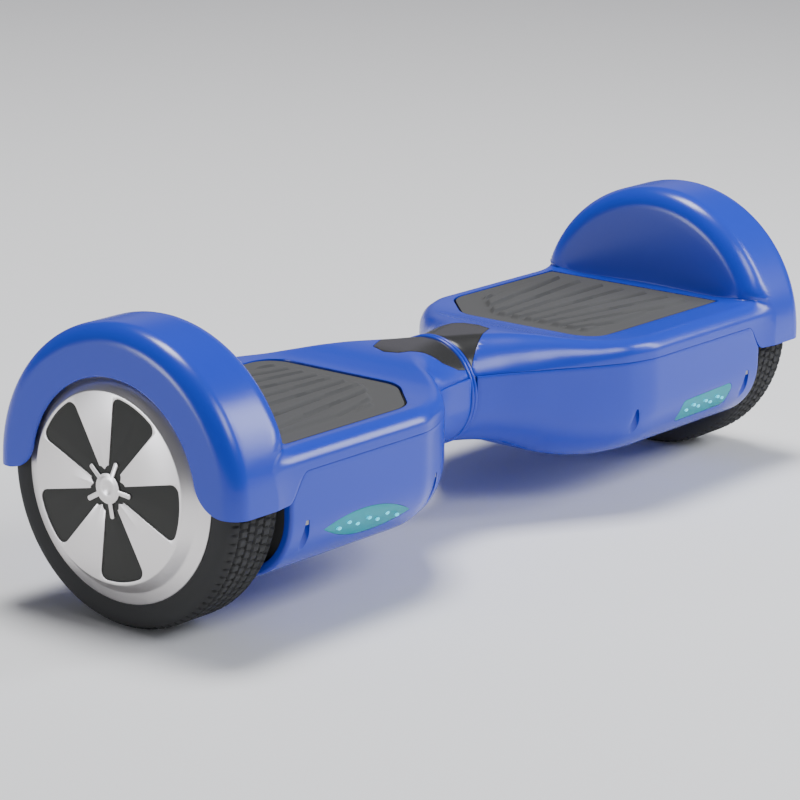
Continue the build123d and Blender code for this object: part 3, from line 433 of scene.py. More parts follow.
def build_variation(tree: bpy.types.NodeTree, source: bpy.types.Node, sink: bpy.types.Node) -> None:
    """Slow change of a value between Low and High."""
    cloud = noise(tree)
    spread = tree.nodes.new("ShaderNodeMapRange")
    spread.inputs["From Min"].default_value = 0.3
    spread.inputs["From Max"].default_value = 0.7
    tree.links.new(source.outputs["Scale"], cloud.inputs["Scale"])
    tree.links.new(cloud.outputs["Fac"], spread.inputs["Value"])
    tree.links.new(source.outputs["Low"], spread.inputs["To Min"])
    tree.links.new(source.outputs["High"], spread.inputs["To Max"])
    tree.links.new(spread.outputs["Result"], sink.inputs["Value"])


def build_grain(tree: bpy.types.NodeTree, source: bpy.types.Node, sink: bpy.types.Node) -> None:
    """Fine moulded grain as a height."""
    fine = noise(tree, 4.0, 0.6)
    scale = tree.nodes.new("ShaderNodeMath")
    scale.operation = "MULTIPLY"
    tree.links.new(source.outputs["Scale"], fine.inputs["Scale"])
    tree.links.new(fine.outputs["Fac"], scale.inputs[0])
    tree.links.new(source.outputs["Amount"], scale.inputs[1])
    tree.links.new(scale.outputs[0], sink.inputs["Height"])


def build_flake(tree: bpy.types.NodeTree, source: bpy.types.Node, sink: bpy.types.Node) -> None:
    """Small bright flakes in a lacquer, as a mask."""
    where = tree.nodes.new("ShaderNodeTexCoord")
    cells = tree.nodes.new("ShaderNodeTexVoronoi")
    pick = tree.nodes.new("ShaderNodeSeparateColor")
    keep = tree.nodes.new("ShaderNodeMapRange")
    keep.inputs["To Min"].default_value = 0.0
    tree.links.new(where.outputs["Object"], cells.inputs["Vector"])
    tree.links.new(source.outputs["Scale"], cells.inputs["Scale"])
    tree.links.new(cells.outputs["Color"], pick.inputs["Color"])
    tree.links.new(pick.outputs[0], keep.inputs["Value"])
    tree.links.new(source.outputs["Share"], keep.inputs["From Min"])
    tree.links.new(source.outputs["Amount"], keep.inputs["To Max"])
    tree.links.new(keep.outputs["Result"], sink.inputs["Mask"])


def build_wear(tree: bpy.types.NodeTree, source: bpy.types.Node, sink: bpy.types.Node) -> None:
    """Wear on outer edges, broken up by noise, as a mask."""
    shape = tree.nodes.new("ShaderNodeNewGeometry")
    edge = tree.nodes.new("ShaderNodeMapRange")
    edge.inputs["From Min"].default_value = 0.52
    edge.inputs["From Max"].default_value = 0.62
    cloud = noise(tree, 5.0, 0.65)
    cloud.inputs["Scale"].default_value = 90.0
    both = tree.nodes.new("ShaderNodeMath")
    both.operation = "MULTIPLY"
    amount = tree.nodes.new("ShaderNodeMath")
    amount.operation = "MULTIPLY"
    tree.links.new(shape.outputs["Pointiness"], edge.inputs["Value"])
    tree.links.new(edge.outputs["Result"], both.inputs[0])
    tree.links.new(cloud.outputs["Fac"], both.inputs[1])
    tree.links.new(both.outputs[0], amount.inputs[0])
    tree.links.new(source.outputs["Amount"], amount.inputs[1])
    tree.links.new(amount.outputs[0], sink.inputs["Mask"])


def build_brushing(tree: bpy.types.NodeTree, source: bpy.types.Node, sink: bpy.types.Node) -> None:
    """Fine rings left by turning about the X axis at the Centre height, as a height."""
    where = tree.nodes.new("ShaderNodeTexCoord")
    apart = tree.nodes.new("ShaderNodeSeparateXYZ")
    tree.links.new(where.outputs["Object"], apart.inputs[0])
    lift = tree.nodes.new("ShaderNodeMath")
    lift.operation = "SUBTRACT"
    tree.links.new(apart.outputs["Z"], lift.inputs[0])
    tree.links.new(source.outputs["Centre"], lift.inputs[1])
    flat = tree.nodes.new("ShaderNodeCombineXYZ")
    tree.links.new(apart.outputs["Y"], flat.inputs["X"])
    tree.links.new(lift.outputs[0], flat.inputs["Y"])
    reach = tree.nodes.new("ShaderNodeVectorMath")
    reach.operation = "LENGTH"
    tree.links.new(flat.outputs[0], reach.inputs[0])
    turn = tree.nodes.new("ShaderNodeMath")
    turn.operation = "ARCTAN2"
    tree.links.new(apart.outputs["Y"], turn.inputs[0])
    tree.links.new(lift.outputs[0], turn.inputs[1])
    slow = tree.nodes.new("ShaderNodeMath")
    slow.operation = "MULTIPLY"
    slow.inputs[1].default_value = 0.004
    tree.links.new(turn.outputs[0], slow.inputs[0])
    polar = tree.nodes.new("ShaderNodeCombineXYZ")
    tree.links.new(reach.outputs["Value"], polar.inputs["X"])
    tree.links.new(slow.outputs[0], polar.inputs["Y"])
    rings = tree.nodes.new("ShaderNodeTexNoise")
    rings.inputs["Detail"].default_value = 2.0
    tree.links.new(polar.outputs[0], rings.inputs["Vector"])
    tree.links.new(source.outputs["Scale"], rings.inputs["Scale"])
    tree.links.new(rings.outputs["Fac"], sink.inputs["Height"])


VARIATION = Effect(
    "slow_variation", (("Scale", 12.0), ("Low", 0.2), ("High", 0.3)), ("Value",), build_variation
)
GRAIN = Effect("moulded_grain", (("Scale", 900.0), ("Amount", 1.0)), ("Height",), build_grain)
FLAKE = Effect("lacquer_flake", (("Scale", 2500.0), ("Share", 0.6), ("Amount", 1.0)), ("Mask",), build_flake)
WEAR = Effect("edge_wear", (("Amount", 0.6),), ("Mask",), build_wear)
BRUSHING = Effect("turned_rings", (("Scale", 900.0), ("Centre", 0.085)), ("Height",), build_brushing)


@dataclass(frozen=True)
class Finish:
    """A surface finish: its colours, its gloss and how much of each shared effect it shows."""

    name: str
    colour: Colour
    second: Colour
    metallic: float = 0.0
    rough_low: float = 0.3
    rough_high: float = 0.4
    coat: float = 0.0
    coat_rough: float = 0.03
    specular: float = 0.5
    flake_scale: float = 0.0
    flake_colour: Colour = (1.0, 1.0, 1.0)
    grain_scale: float = 900.0
    grain_strength: float = 0.05
    grain_depth: float = 0.0002
    wear: float = 0.3
    wear_colour: Colour = (0.5, 0.5, 0.5)
    rings: float = 0.0
    alpha: float = 1.0
    transmission: float = 0.0
    glow: Colour = (0.0, 0.0, 0.0)
    glow_strength: float = 0.0

    def place(self, tree: bpy.types.NodeTree, effect: Effect, **values: float) -> bpy.types.Node:
        """Places a shared effect in a material with its own values."""
        made = tree.nodes.new("ShaderNodeGroup")
        made.node_tree = effect.tree()
        for label, value in values.items():
            made.inputs[label].default_value = value
        return made

    def blend(
        self, tree: bpy.types.NodeTree, mask: bpy.types.NodeSocket, base: bpy.types.NodeSocket, over: Colour
    ) -> bpy.types.NodeSocket:
        """Lays a colour over another where a mask is high."""
        made = tree.nodes.new("ShaderNodeMix")
        made.data_type = "RGBA"
        tree.links.new(mask, made.inputs["Factor"])
        tree.links.new(base, made.inputs["A"])
        made.inputs["B"].default_value = (*over, 1.0)
        return made.outputs["Result"]

    def material(self) -> bpy.types.Material:
        """The material of this finish, made the first time that it is asked for."""
        made = bpy.data.materials.get(self.name)
        if made is not None:
            return made
        made = bpy.data.materials.new(self.name)
        made.use_nodes = True
        tree = made.node_tree
        shader = tree.nodes["Principled BSDF"]
        shader.inputs["Metallic"].default_value = self.metallic
        shader.inputs["Coat Weight"].default_value = self.coat
        shader.inputs["Coat Roughness"].default_value = self.coat_rough
        shader.inputs["Specular IOR Level"].default_value = self.specular
        shader.inputs["Alpha"].default_value = self.alpha
        shader.inputs["Transmission Weight"].default_value = self.transmission
        shader.inputs["Emission Color"].default_value = (*self.glow, 1.0)
        shader.inputs["Emission Strength"].default_value = self.glow_strength
        tint = self.place(tree, VARIATION, Scale=9.0, Low=0.0, High=1.0)
        base = tree.nodes.new("ShaderNodeMix")
        base.data_type = "RGBA"
        base.inputs["A"].default_value = (*self.colour, 1.0)
        base.inputs["B"].default_value = (*self.second, 1.0)
        tree.links.new(tint.outputs["Value"], base.inputs["Factor"])
        colour = base.outputs["Result"]
        if self.flake_scale:
            flake = self.place(tree, FLAKE, Scale=self.flake_scale, Share=0.55, Amount=0.55)
            colour = self.blend(tree, flake.outputs["Mask"], colour, self.flake_colour)
        if self.wear:
            wear = self.place(tree, WEAR, Amount=self.wear)
            colour = self.blend(tree, wear.outputs["Mask"], colour, self.wear_colour)
        tree.links.new(colour, shader.inputs["Base Color"])
        gloss = self.place(tree, VARIATION, Scale=35.0, Low=self.rough_low, High=self.rough_high)
        tree.links.new(gloss.outputs["Value"], shader.inputs["Roughness"])
        bump = tree.nodes.new("ShaderNodeBump")
        bump.inputs["Strength"].default_value = self.grain_strength
        bump.inputs["Distance"].default_value = self.grain_depth
        if self.rings:
            height = self.place(tree, BRUSHING, Scale=self.rings, Centre=0.085)
        else:
            height = self.place(tree, GRAIN, Scale=self.grain_scale, Amount=1.0)
        tree.links.new(height.outputs["Height"], bump.inputs["Height"])
        tree.links.new(bump.outputs["Normal"], shader.inputs["Normal"])
        return made


PAINT = Finish(
    "blue_paint", (
        0.0, 0.0012, 0.17
    ), (0.0, 0.002, 0.21), metallic=1.0, rough_low=0.20, rough_high=0.24, coat=0.8,
    coat_rough=0.015, flake_scale=2600.0, flake_colour=(
        0.0, 0.012, 0.50
    ), grain_scale=260.0, grain_strength=0.02,
    wear=0.08, wear_colour=(0.01, 0.02, 0.35),
)
GLOSS_BLACK = Finish(
    "gloss_black", (0.003, 0.003, 0.004), (0.006, 0.006, 0.007), rough_low=0.12, rough_high=0.2, coat=0.6,
    grain_scale=400.0, grain_strength=0.02, wear=0.15, wear_colour=(0.03, 0.03, 0.03),
)
PAD_RUBBER = Finish(
    "pad_rubber", (0.0085, 0.0085, 0.0080), (0.014, 0.014, 0.013), rough_low=0.40, rough_high=0.55,
    grain_scale=1500.0, grain_strength=0.25, wear=0.4, wear_colour=(0.035, 0.035, 0.033), specular=0.4,
)
TYRE_RUBBER = Finish(
    "tyre_rubber", (0.0045, 0.0045, 0.004), (0.008, 0.0075, 0.0065), rough_low=0.5, rough_high=0.7,
    grain_scale=1200.0, grain_strength=0.3, wear=0.8, wear_colour=(0.035, 0.032, 0.026), specular=0.35,
)
POLISHED = Finish(
    "polished_aluminium", (
        0.88, 0.82, 0.80
    ), (0.80, 0.76, 0.75), metallic=1.0, rough_low=0.13, rough_high=0.2,
    rings=1400.0, grain_strength=0.12, grain_depth=0.00008, wear=0.0, coat=0.25,
)
INLAY_BLACK = Finish(
    "inlay_black", (0.0035, 0.0035, 0.003), (0.006, 0.006, 0.0055), rough_low=0.38, rough_high=0.5,
    grain_scale=1800.0, grain_strength=0.12, wear=0.12, wear_colour=(0.02, 0.02, 0.02), specular=0.3,
)
LAMP_LENS = Finish(
    "lamp_lens", (0.0, 0.085, 0.13), (0.0, 0.13, 0.18), rough_low=0.08, rough_high=0.14, coat=1.0,
    grain_scale=200.0, grain_strength=0.03, wear=0.0, glow=(0.0, 0.30, 0.42), glow_strength=0.10,
)
LAMP_SPOT = Finish(
    "lamp_spot", (0.05, 0.75, 0.9), (0.1, 0.8, 0.95), rough_low=0.1, rough_high=0.15, wear=0.0,
    glow=(0.0, 0.65, 0.9), glow_strength=0.7,
)
CIRCUIT = Finish("circuit_board", (0.015, 0.12, 0.05), (
    0.02, 0.16, 0.06
), rough_low=0.35, rough_high=0.45, wear=0.3, flake_scale=300.0, flake_colour=(0.3, 0.25, 0.08))
CAST = Finish("cast_aluminium", (0.45, 0.45, 0.46), (0.52, 0.52, 0.53), metallic=1.0, rough_low=0.45, rough_high=0.6, grain_scale=700.0, grain_strength=0.35, wear=0.5, wear_colour=(0.75, 0.75, 0.76))
SCREW = Finish("screw_steel", (
    0.16, 0.16, 0.17
), (0.2, 0.2, 0.21), metallic=1.0, rough_low=0.3, rough_high=0.42, wear=0.6, wear_colour=(0.5, 0.5, 0.5))
AXLE = Finish("axle_steel", (0.5, 0.5, 0.51), (0.55, 0.55, 0.56), metallic=1.0, rough_low=0.2, rough_high=0.28, rings=1600.0, grain_strength=0.1, wear=0.2, wear_colour=(0.7, 0.7, 0.7))
IRON = Finish("core_iron", (0.10, 0.095, 0.09), (
    0.14, 0.13, 0.12
), metallic=1.0, rough_low=0.45, rough_high=0.6, grain_strength=0.3, wear=0.4, wear_colour=(0.3, 0.3, 0.3))
COPPER = Finish("copper", (0.55, 0.20, 0.08), (0.62, 0.25, 0.10), metallic=1.0, rough_low=0.25, rough_high=0.35, rings=700.0, grain_strength=0.4, wear=0.2, wear_colour=(0.8, 0.45, 0.25))
MAGNET = Finish("magnet", (
    0.5, 0.49, 0.47
), (0.56, 0.55, 0.53), metallic=1.0, rough_low=0.15, rough_high=0.22, wear=0.4, wear_colour=(0.3, 0.29, 0.28))
BEARING = Finish("bearing_steel", (0.6, 0.6, 0.6), (
    0.65, 0.65, 0.65
), metallic=1.0, rough_low=0.1, rough_high=0.16, rings=1200.0, grain_strength=0.08, wear=0.1)
BUSH = Finish("bush_plastic", (0.62, 0.58, 0.48), (
    0.66, 0.62, 0.52
), rough_low=0.35, rough_high=0.45, grain_strength=0.15, wear=0.2, wear_colour=(0.75, 0.72, 0.65))
WRAP = Finish("battery_wrap", (0.01, 0.04, 0.22), (0.015, 0.05, 0.26), rough_low=0.2, rough_high=0.35, grain_scale=120.0, grain_strength=0.4, wear=0.2, wear_colour=(0.1, 0.15, 0.4))
INNER = Finish("inner_plastic", (0.02, 0.02, 0.02), (
    0.03, 0.03, 0.03
), rough_low=0.4, rough_high=0.5, grain_strength=0.2, wear=0.3, wear_colour=(0.1, 0.1, 0.1))
SOCKET = Finish("socket_metal", (
    0.6, 0.6, 0.6
), (0.66, 0.66, 0.66), metallic=1.0, rough_low=0.15, rough_high=0.22, wear=0.3, wear_colour=(0.4, 0.4, 0.4))
FINISHES = {
    made.name: made
    for made in (PAINT, GLOSS_BLACK, PAD_RUBBER, TYRE_RUBBER, POLISHED, INLAY_BLACK, LAMP_LENS, CIRCUIT, CAST, SCREW,
                 AXLE, IRON, COPPER, MAGNET, BEARING, BUSH, WRAP, INNER, SOCKET)
}


def dress(made: bpy.types.Object, finish: Finish) -> bpy.types.Object:
    """Gives an object one finish all over."""
    made.data.materials.clear()
    made.data.materials.append(finish.material())
    return made


# ---- shell -------------------------------------------------------------------------------------


@dataclass(frozen=True)
class Station:
    """One section of the body: where it is and how far it has gone from the neck to the full body."""

    x: float
    slant: float
    square: float
    top: float
    belly: float
    corner: float


@dataclass(frozen=True)
class Section:
    """Rounded outline of the body at one x: reaches from the axle line and corner radii."""

    slant: float
    square: float
    top: float
    belly: float
    top_corner: float
    belly_corner: float

    def smaller(self, inset: float) -> "Section":
        """The same outline drawn smaller all round."""
        return Section(*(value - inset for value in (
            self.slant, self.square, self.top, self.belly, self.top_corner, self.belly_corner)))


@dataclass
class BodyForm:
    """The outer skin of a half in millimetres, as sections along the axle line."""

    axle: float
    body_end: float
    start: float = 3.3
    half_width: float = 90.0
    deck_rise: float = 26.4
    belly_drop: float = 53.5
    neck: float = 34.0
    neck_corner: float = 33.0
    shoulder: float = 10.0
    belly_corner: float = 40.0
    stations: tuple[Station, ...] = (
        Station(3.3, 0.0, 0.0, 0.0, 0.0, 0.0),
        Station(20.0, 0.14, 0.02, 0.0, 0.05, 0.10),
        Station(38.0, 0.33, 0.07, 0.03, 0.20, 0.25),
        Station(52.0, 0.47, 0.22, 0.20, 0.45, 0.45),
        Station(66.0, 0.62, 0.48, 0.55, 0.75, 0.70),
        Station(82.0, 0.78, 0.72, 0.86, 0.94, 0.88),
        Station(100.0, 0.93, 0.89, 0.98, 1.0, 1.0),
        Station(122.0, 1.0, 1.0, 1.0, 1.0, 1.0),
    )

    def share(self, x: float, key: str) -> float:
        """How far one size has gone from the neck to the full body at x, without overshoot.

        Args:
            x: Place along the axle line.
            key: Name of the station's value.

        Returns:
            0 at the neck, 1 at the full body.
        """
        places = [s.x for s in self.stations]
        values = [getattr(s, key) for s in self.stations]
        if x <= places[0]:
            return values[0]
        if x >= places[-1]:
            return values[-1]
        slopes = [(b - a) / (q - p) for a, b, p, q in zip(values, values[1:], places, places[1:])]
        ends = [slopes[0]] + [
            0.0 if a * b <= 0 else 2 * a * b / (a + b) for a, b in zip(slopes, slopes[1:])
        ] + [0.0]
        i = max(n for n, place in enumerate(places) if place <= x)
        wide = places[i + 1] - places[i]
        t = (x - places[i]) / wide
        return (
            (2 * t**3 - 3 * t**2 + 1) * values[i] + (t**3 - 2 * t**2 + t) * wide * ends[i]
            + (3 * t**2 - 2 * t**3) * values[i + 1] + (t**3 - t**2) * wide * ends[i + 1]
        )

    def section(self, x: float) -> Section:
        """The outline of the body at x.

        Args:
            x: Place along the axle line.

        Returns:
            Its reaches and corner radii.
        """
        corner = self.share(x, "corner")
        return Section(
            mix(self.neck, self.half_width, self.share(x, "slant")),
            mix(self.neck, self.half_width, self.share(x, "square")),
            mix(self.neck, self.deck_rise, self.share(x, "top")),
            mix(self.neck, self.belly_drop, self.share(x, "belly")),
            mix(self.neck_corner, self.shoulder, corner),
            mix(self.neck_corner, self.belly_corner, corner),
        )

    def corner_line(self, reach: float, rise: float, corner: float, seam: float, count: int) -> list[Point2]:
        """From the seam up a side and round its corner, evenly spaced.

        Args:
            reach: Distance of the side from the middle.
            rise: Distance of the flat beyond the corner.
            corner: Radius of the corner.
            seam: Height where the side starts.
            count: Number of steps.

        Returns:
            Points (across, up) with across positive.
        """
        level = rise - corner
        first = math.degrees(math.asin(clamp((seam - level) / corner, -1, 1))) if seam > level else 0.0
        line = [(reach, seam)] if seam < level else []
        line += arc((reach - corner, level), corner, first, 90.0 - first, 40)
        return along(line, spaced(0.0, length_of(line), count))

    def upper(
        self, x: float, seam: float, corner_steps: int, deck_steps: int, inset: float = 0.0
    ) -> list[Point2]:
        """From the square side's seam over the deck to the slant side's.

        Args:
            x: Place along the axle line.
            seam: Height of the seam over the axle.
            corner_steps: Steps from the seam round a corner.
            deck_steps: Steps over the deck.
            inset: How far inside the skin.

        Returns:
            Points (y, height over the axle).
        """
        cut = self.section(x).smaller(inset)
        square = self.corner_line(cut.square, cut.top, cut.top_corner, seam, corner_steps)
        slant = self.corner_line(cut.slant, cut.top, cut.top_corner, seam, corner_steps)
        full = self.section(self.body_end)
        flat = full.square - full.top_corner
        first = math.atan2(full.top, flat)
        deck = []
        for a in spaced(first, math.pi - first, deck_steps)[1:-1]:
            share = (flat - full.top / math.tan(a)) / (2 * flat)
            deck.append((mix(square[-1][0], -slant[-1][0], share), cut.top))
        return square + deck + [(-y, z) for y, z in reversed(slant)]

    def lower(
        self, x: float, seam: float, corner_steps: int, belly_steps: int, inset: float = 0.0
    ) -> list[Point2]:
        """From the slant side's seam under the belly to the square side's.

        Args:
            x: Place along the axle line.
            seam: Height of the seam over the axle.
            corner_steps: Steps from the seam round a corner.
            belly_steps: Steps over the belly.
            inset: How far inside the skin.

        Returns:
            Points (y, height over the axle).
        """
        cut = self.section(x).smaller(inset)
        slant = self.corner_line(cut.slant, cut.belly, cut.belly_corner, -seam, corner_steps)
        square = self.corner_line(cut.square, cut.belly, cut.belly_corner, -seam, corner_steps)
        start, end = (-slant[-1][0], -slant[-1][1]), (square[-1][0], -square[-1][1])
        flat = [(mix(start[0], end[0], s), start[1]) for s in spaced(0.0, 1.0, belly_steps)[1:-1]]
        return [(-y, -z) for y, z in slant] + flat + [(y, -z) for y, z in reversed(square)]

    def rows(self, start: float, end: float, step: float) -> list[float]:
        """Places along X at about the given step."""
        return spaced(start, end, max(2, round((end - start) / step)))


@dataclass
class FenderForm:
    """Section of the fender about the axle and how it grows out of the body, in millimetres."""

    back: float
    front: float
    crown: float
    opening: float = 62.8
    back_round: float = 14.0
    front_round: float = 12.0
    lip_round: float = 1.3
    grid_start: float = 226.0
    foot_top: float = 3.2
    foot_flank: float = 13.4
    ear_reach: float = 81.0
    ear_rise: float = 17.0
    ear_round: float = 20.0
    seam_turn: float = 242.0

    def opening_at(self, angle: float) -> float:
        """Radius of the wheel's opening, with its rounded ends.

        Args:
            angle: Direction from the axle.

        Returns:
            The radius in that direction.
        """
        reach = abs(math.cos(angle)) * self.ear_reach + math.sin(angle) * self.ear_rise
        gap = self.ear_round**2 - self.ear_reach**2 - self.ear_rise**2 + reach**2
        rounding = reach - math.sqrt(gap) if gap > 0 else reach
        limit = self.crown - self.front_round - 0.6
        if math.sin(angle) > self.ear_rise / math.hypot(self.ear_reach, self.ear_rise):
            return self.opening
        return clamp(max(rounding, self.opening), self.opening, limit)

    def ear_angles(self, seam_angle: float, count: int) -> list[float]:
        """Directions from the ear's lower edge up to the body's seam, close together at the edge.

        Args:
            seam_angle: Direction of the seam.
            count: Number of directions.

        Returns:
            Angles about the axle line.
        """
        turns = spaced(270.0, 200.0, 60)
        angles = [
            math.atan2(self.ear_rise + self.ear_round * math.sin(math.radians(t)),
                       self.ear_reach + self.ear_round * math.cos(math.radians(t)))
            for t in turns
        ]
        angles = [a for a in angles if a < seam_angle - 0.004]
        picks = spaced(0, len(angles) - 1, count - 1)
        return [angles[round(p)] for p in picks]

    def path(self, body_reach: float, angle: float) -> list[Point2]:
        """One line of the skin from the body out over the fender to the wheel's opening.

        Args:
            body_reach: Distance of the body's skin from the axle line in this direction.
            angle: Direction about the axle line.

        Returns:
            Points (x, reach), with as many for every direction.
        """
        inner = self.crown - self.back_round
        if body_reach < inner:
            foot = (self.back, body_reach)
        else:
            foot = (self.back + self.back_round - math.sqrt(
                max(0.0, self.back_round**2 - (body_reach - inner) ** 2)
            ), body_reach)
        wide = mix(self.foot_top, self.foot_flank, smooth((body_reach - 58.0) / 26.0))
        start = (foot[0] - wide, body_reach)
        skin = [foot] if body_reach < inner else []
        rest = math.degrees(
            math.asin(clamp((body_reach - inner) / self.back_round))
        ) if body_reach > inner else 0.0
        skin += arc((self.back + self.back_round, inner), self.back_round, 180.0 - rest, -(90.0 - rest), 40)
        skin.append((self.front - self.front_round, self.crown))
        total = length_of(skin)
        end = along(skin, [wide])[0]
        wall = clamp(inner - end[1], 0.0, 200.0)
        left = total - wide
        bend = max(
            0.0, left - (self.front - self.front_round - max(end[0], self.back + self.back_round)) - wall
        )
        first = max(wall, 0.25 * left)
        second = max(wall + bend, first + 0.3 * left)
        out = [(x, body_reach) for x in spaced(min(self.grid_start, start[0] - 0.4), start[0], 3)]
        for t in spaced(0.0, 1.0, 10)[1:]:
            a, b, c = (1 - t) ** 2, 2 * t * (1 - t), t * t
            out.append((a * start[0] + b * foot[0] + c * end[0], a * start[1] + b * foot[1] + c * end[1]))
        stops = spaced(0.0, first, 8)[1:] + spaced(first, second, 14)[1:] + spaced(second, left, 8)[1:]
        out += along(skin, [wide + s for s in stops])
        out += arc(
            (self.front - self.front_round, self.crown - self.front_round), self.front_round, 90.0, -90.0, 12
        )[1:]
        mouth = self.opening_at(angle)
        lip = min(self.lip_round, (self.crown - self.front_round - mouth) * 0.4)
        out += [(self.front, r) for r in spaced(self.crown - self.front_round, mouth + lip, 6)[1:]]
        out += arc((self.front - lip, mouth + lip), lip, 0.0, -90.0, 4)[1:]
        return out

    def seam_at(self, x: float, seam: float, skirt: float) -> float:
        """Height over the axle of the shell's seam at x, which drops under the fender."""
        return mix(seam, skirt, smooth((x - self.grid_start) / (self.seam_turn - self.grid_start)))

    def seam_x(self, height: float, seam: float, skirt: float) -> float:
        """Where the seam has dropped to a height over the axle."""
        share = clamp((seam - height) / (seam - skirt))
        step = 0.5 - math.sin(math.asin(clamp(1 - 2 * share, -1, 1)) / 3)
        return mix(self.grid_start, self.seam_turn, step)


@dataclass
class Shell:
    """Painted shell of one half: the top with its fender, the bottom, and what is cut in them."""

    side: Side
    form: BodyForm
    fender: FenderForm
    seam: float = 13.0
    seam_gap: float = 0.3
    skirt: float = -3.0
    wall: float = 2.8
    corner_steps: int = 20
    deck_steps: int = 84
    lower_corner_steps: int = 28
    belly_steps: int = 22
    skirt_lap: float = 1.4
    skirt_round: float = 2.2
    row_step: float = 3.2
    edge_round: float = 0.45
    flank_lip: float = 4.0
    well_radius: float = 3.2
    well_top: float = -16.0
    boss_radius: float = 5.4

    def upper_sheet(self) -> Shape:
        """Skin of the top cover and the fender as one sheet."""
        seam = self.seam + self.seam_gap / 2
        rows = self.form.rows(self.form.start, self.fender.grid_start, self.row_step)[:-1]
        body = [self.form.upper(x, seam, self.corner_steps, self.deck_steps) for x in rows]
        full = self.form.upper(self.form.body_end, seam, self.corner_steps, self.deck_steps)
        main = [(math.atan2(z, y), math.hypot(y, z)) for y, z in full]
        ear = [(a, self.form.half_width / math.cos(a)) for a in self.fender.ear_angles(main[0][0], 14)]
        ear_far = [(math.pi - a, r) for a, r in reversed(ear)]
        shape = Shape()
        shape.grid([[(x, y, z + self.form.axle) for y, z in line] for x, line in zip(rows, body)])
        wide, deep = len(full), len(rows)
        columns = []
        for angle, reach in ear + main + ear_far:
            line = self.fender.path(reach, angle)
            height = reach * math.sin(angle)
            if height < seam - 1e-6:
                line = self.trimmed(line, self.fender.seam_x(height, seam, self.skirt))
            columns.append([(x, r * math.cos(angle), r * math.sin(angle) + self.form.axle) for x, r in line])
        base = len(shape.points)
        tall = len(columns[0])
        for column in columns:
            shape.points.extend(column)
        for c in range(len(columns) - 1):
            for r in range(tall - 1):
                a = base + c * tall + r
                shape.faces.append((a, a + tall, a + tall + 1, a + 1))
        last, first = (deep - 1) * wide, len(ear)
        for c in range(wide - 1):
            a, b = base + (first + c) * tall, base + (first + c + 1) * tall
            shape.faces.append((last + c, last + c + 1, b, a))
        return shape

    def trimmed(self, line: list[Point2], start: float) -> list[Point2]:
        """The part of a line past a place, with as many points as the whole.

        Args:
            line: Points (x, reach).
            start: The x to begin at.

        Returns:
            The points of that part.
        """
        first = 0.0
        for i in range(len(line) - 1):
            if line[i][0] <= start <= line[i + 1][0]:
                first = i + (start - line[i][0]) / max(1e-9, line[i + 1][0] - line[i][0])
                break
        out = []
        for place in spaced(first, len(line) - 1, len(line) - 1):
            i = min(int(place), len(line) - 2)
            share = place - i
            out.append((mix(line[i][0], line[i + 1][0], share), mix(line[i][1], line[i + 1][1], share)))
        return out

    def lower_sheet(self) -> Shape:
        """Skin of the bottom cover, with a rounded end under the fender."""
        seam = self.seam - self.seam_gap / 2
        end = self.form.body_end + self.flank_lip
        low = self.skirt - self.skirt_lap
        round_end = self.skirt_round
        rows = self.form.rows(self.form.start, self.fender.grid_start, self.row_step)
        rows += spaced(self.fender.grid_start, end - round_end, 8)[1:]
        lines = []
        for x in rows:
            level = self.fender.seam_at(x, seam, low) if x > self.fender.grid_start else seam
            lines.append([(
                x, y, z + self.form.axle
            ) for y, z in self.form.lower(x, level, self.lower_corner_steps, self.belly_steps)])
        for turn in spaced(0.0, 90.0, 5)[1:]:
            inset = round_end * (1 - math.cos(math.radians(turn)))
            x = end - round_end + round_end * math.sin(math.radians(turn))
            level = self.fender.seam_at(x, seam, low)
            lines.append([(
                x, y, z + self.form.axle
            ) for y, z in self.form.lower(x, level, self.lower_corner_steps, self.belly_steps, inset)])
        for inset in (round_end + 1.6, round_end + 3.2):
            level = self.fender.seam_at(end, seam, low)
            lines.append([(
                end, y, z + self.form.axle
            ) for y, z in self.form.lower(end, level, self.lower_corner_steps, self.belly_steps, inset)])
        return Shape().grid(lines)

    def wells(self) -> list[Point2]:
        """Places of the upright screw wells along the flanks."""
        reach = self.form.half_width - 3.0
        near, far = 104.0, self.form.body_end - 10.0
        return [(near, -reach + 3.5), (far, -reach), (far, reach), (near, reach - 5.0)]

    def bosses(self) -> bpy.types.Object:
        """Columns round the wells, cut to the skin."""
        shape = Shape()
        for x, y in self.wells():
            ring = arc((x, y), self.boss_radius, 0, 360, 40)[:-1]
            shape.prism(ring, upright, self.form.axle - 34.0, self.form.axle + 6.0)
        columns = face_out(shape.make("bosses", self.side))
        body = Shape()
        rows = self.form.rows(90.0, self.form.body_end - 3.0, 4.0)
        rings = []
        for x in rows:
            ring = self.form.upper(
                x, self.seam, 12, 20, 0.02
            ) + self.form.lower(x, self.seam, 28, 22, 0.02)[1:-1]
            rings.append([(x, y, z + self.form.axle) for y, z in ring])
        body.grid(rings, closed=True)
        wide = len(rings[0])
        body.faces.append(tuple(range(wide - 1, -1, -1)))
        body.faces.append(tuple(range((len(rings) - 1) * wide, len(rings) * wide)))
        return combine(columns, face_out(body.make("skin", self.side)), Cut.KEEP)

    def well_tools(self) -> bpy.types.Object:
        """Blocks that cut the wells."""
        shape = Shape()
        for x, y in self.wells():
            ring = arc((x, y), self.well_radius, 0, 360, 36)[:-1]
            shape.prism(ring, upright, self.form.axle - 60.0, self.form.axle + self.well_top)
        return face_out(shape.make("well_tool", self.side))

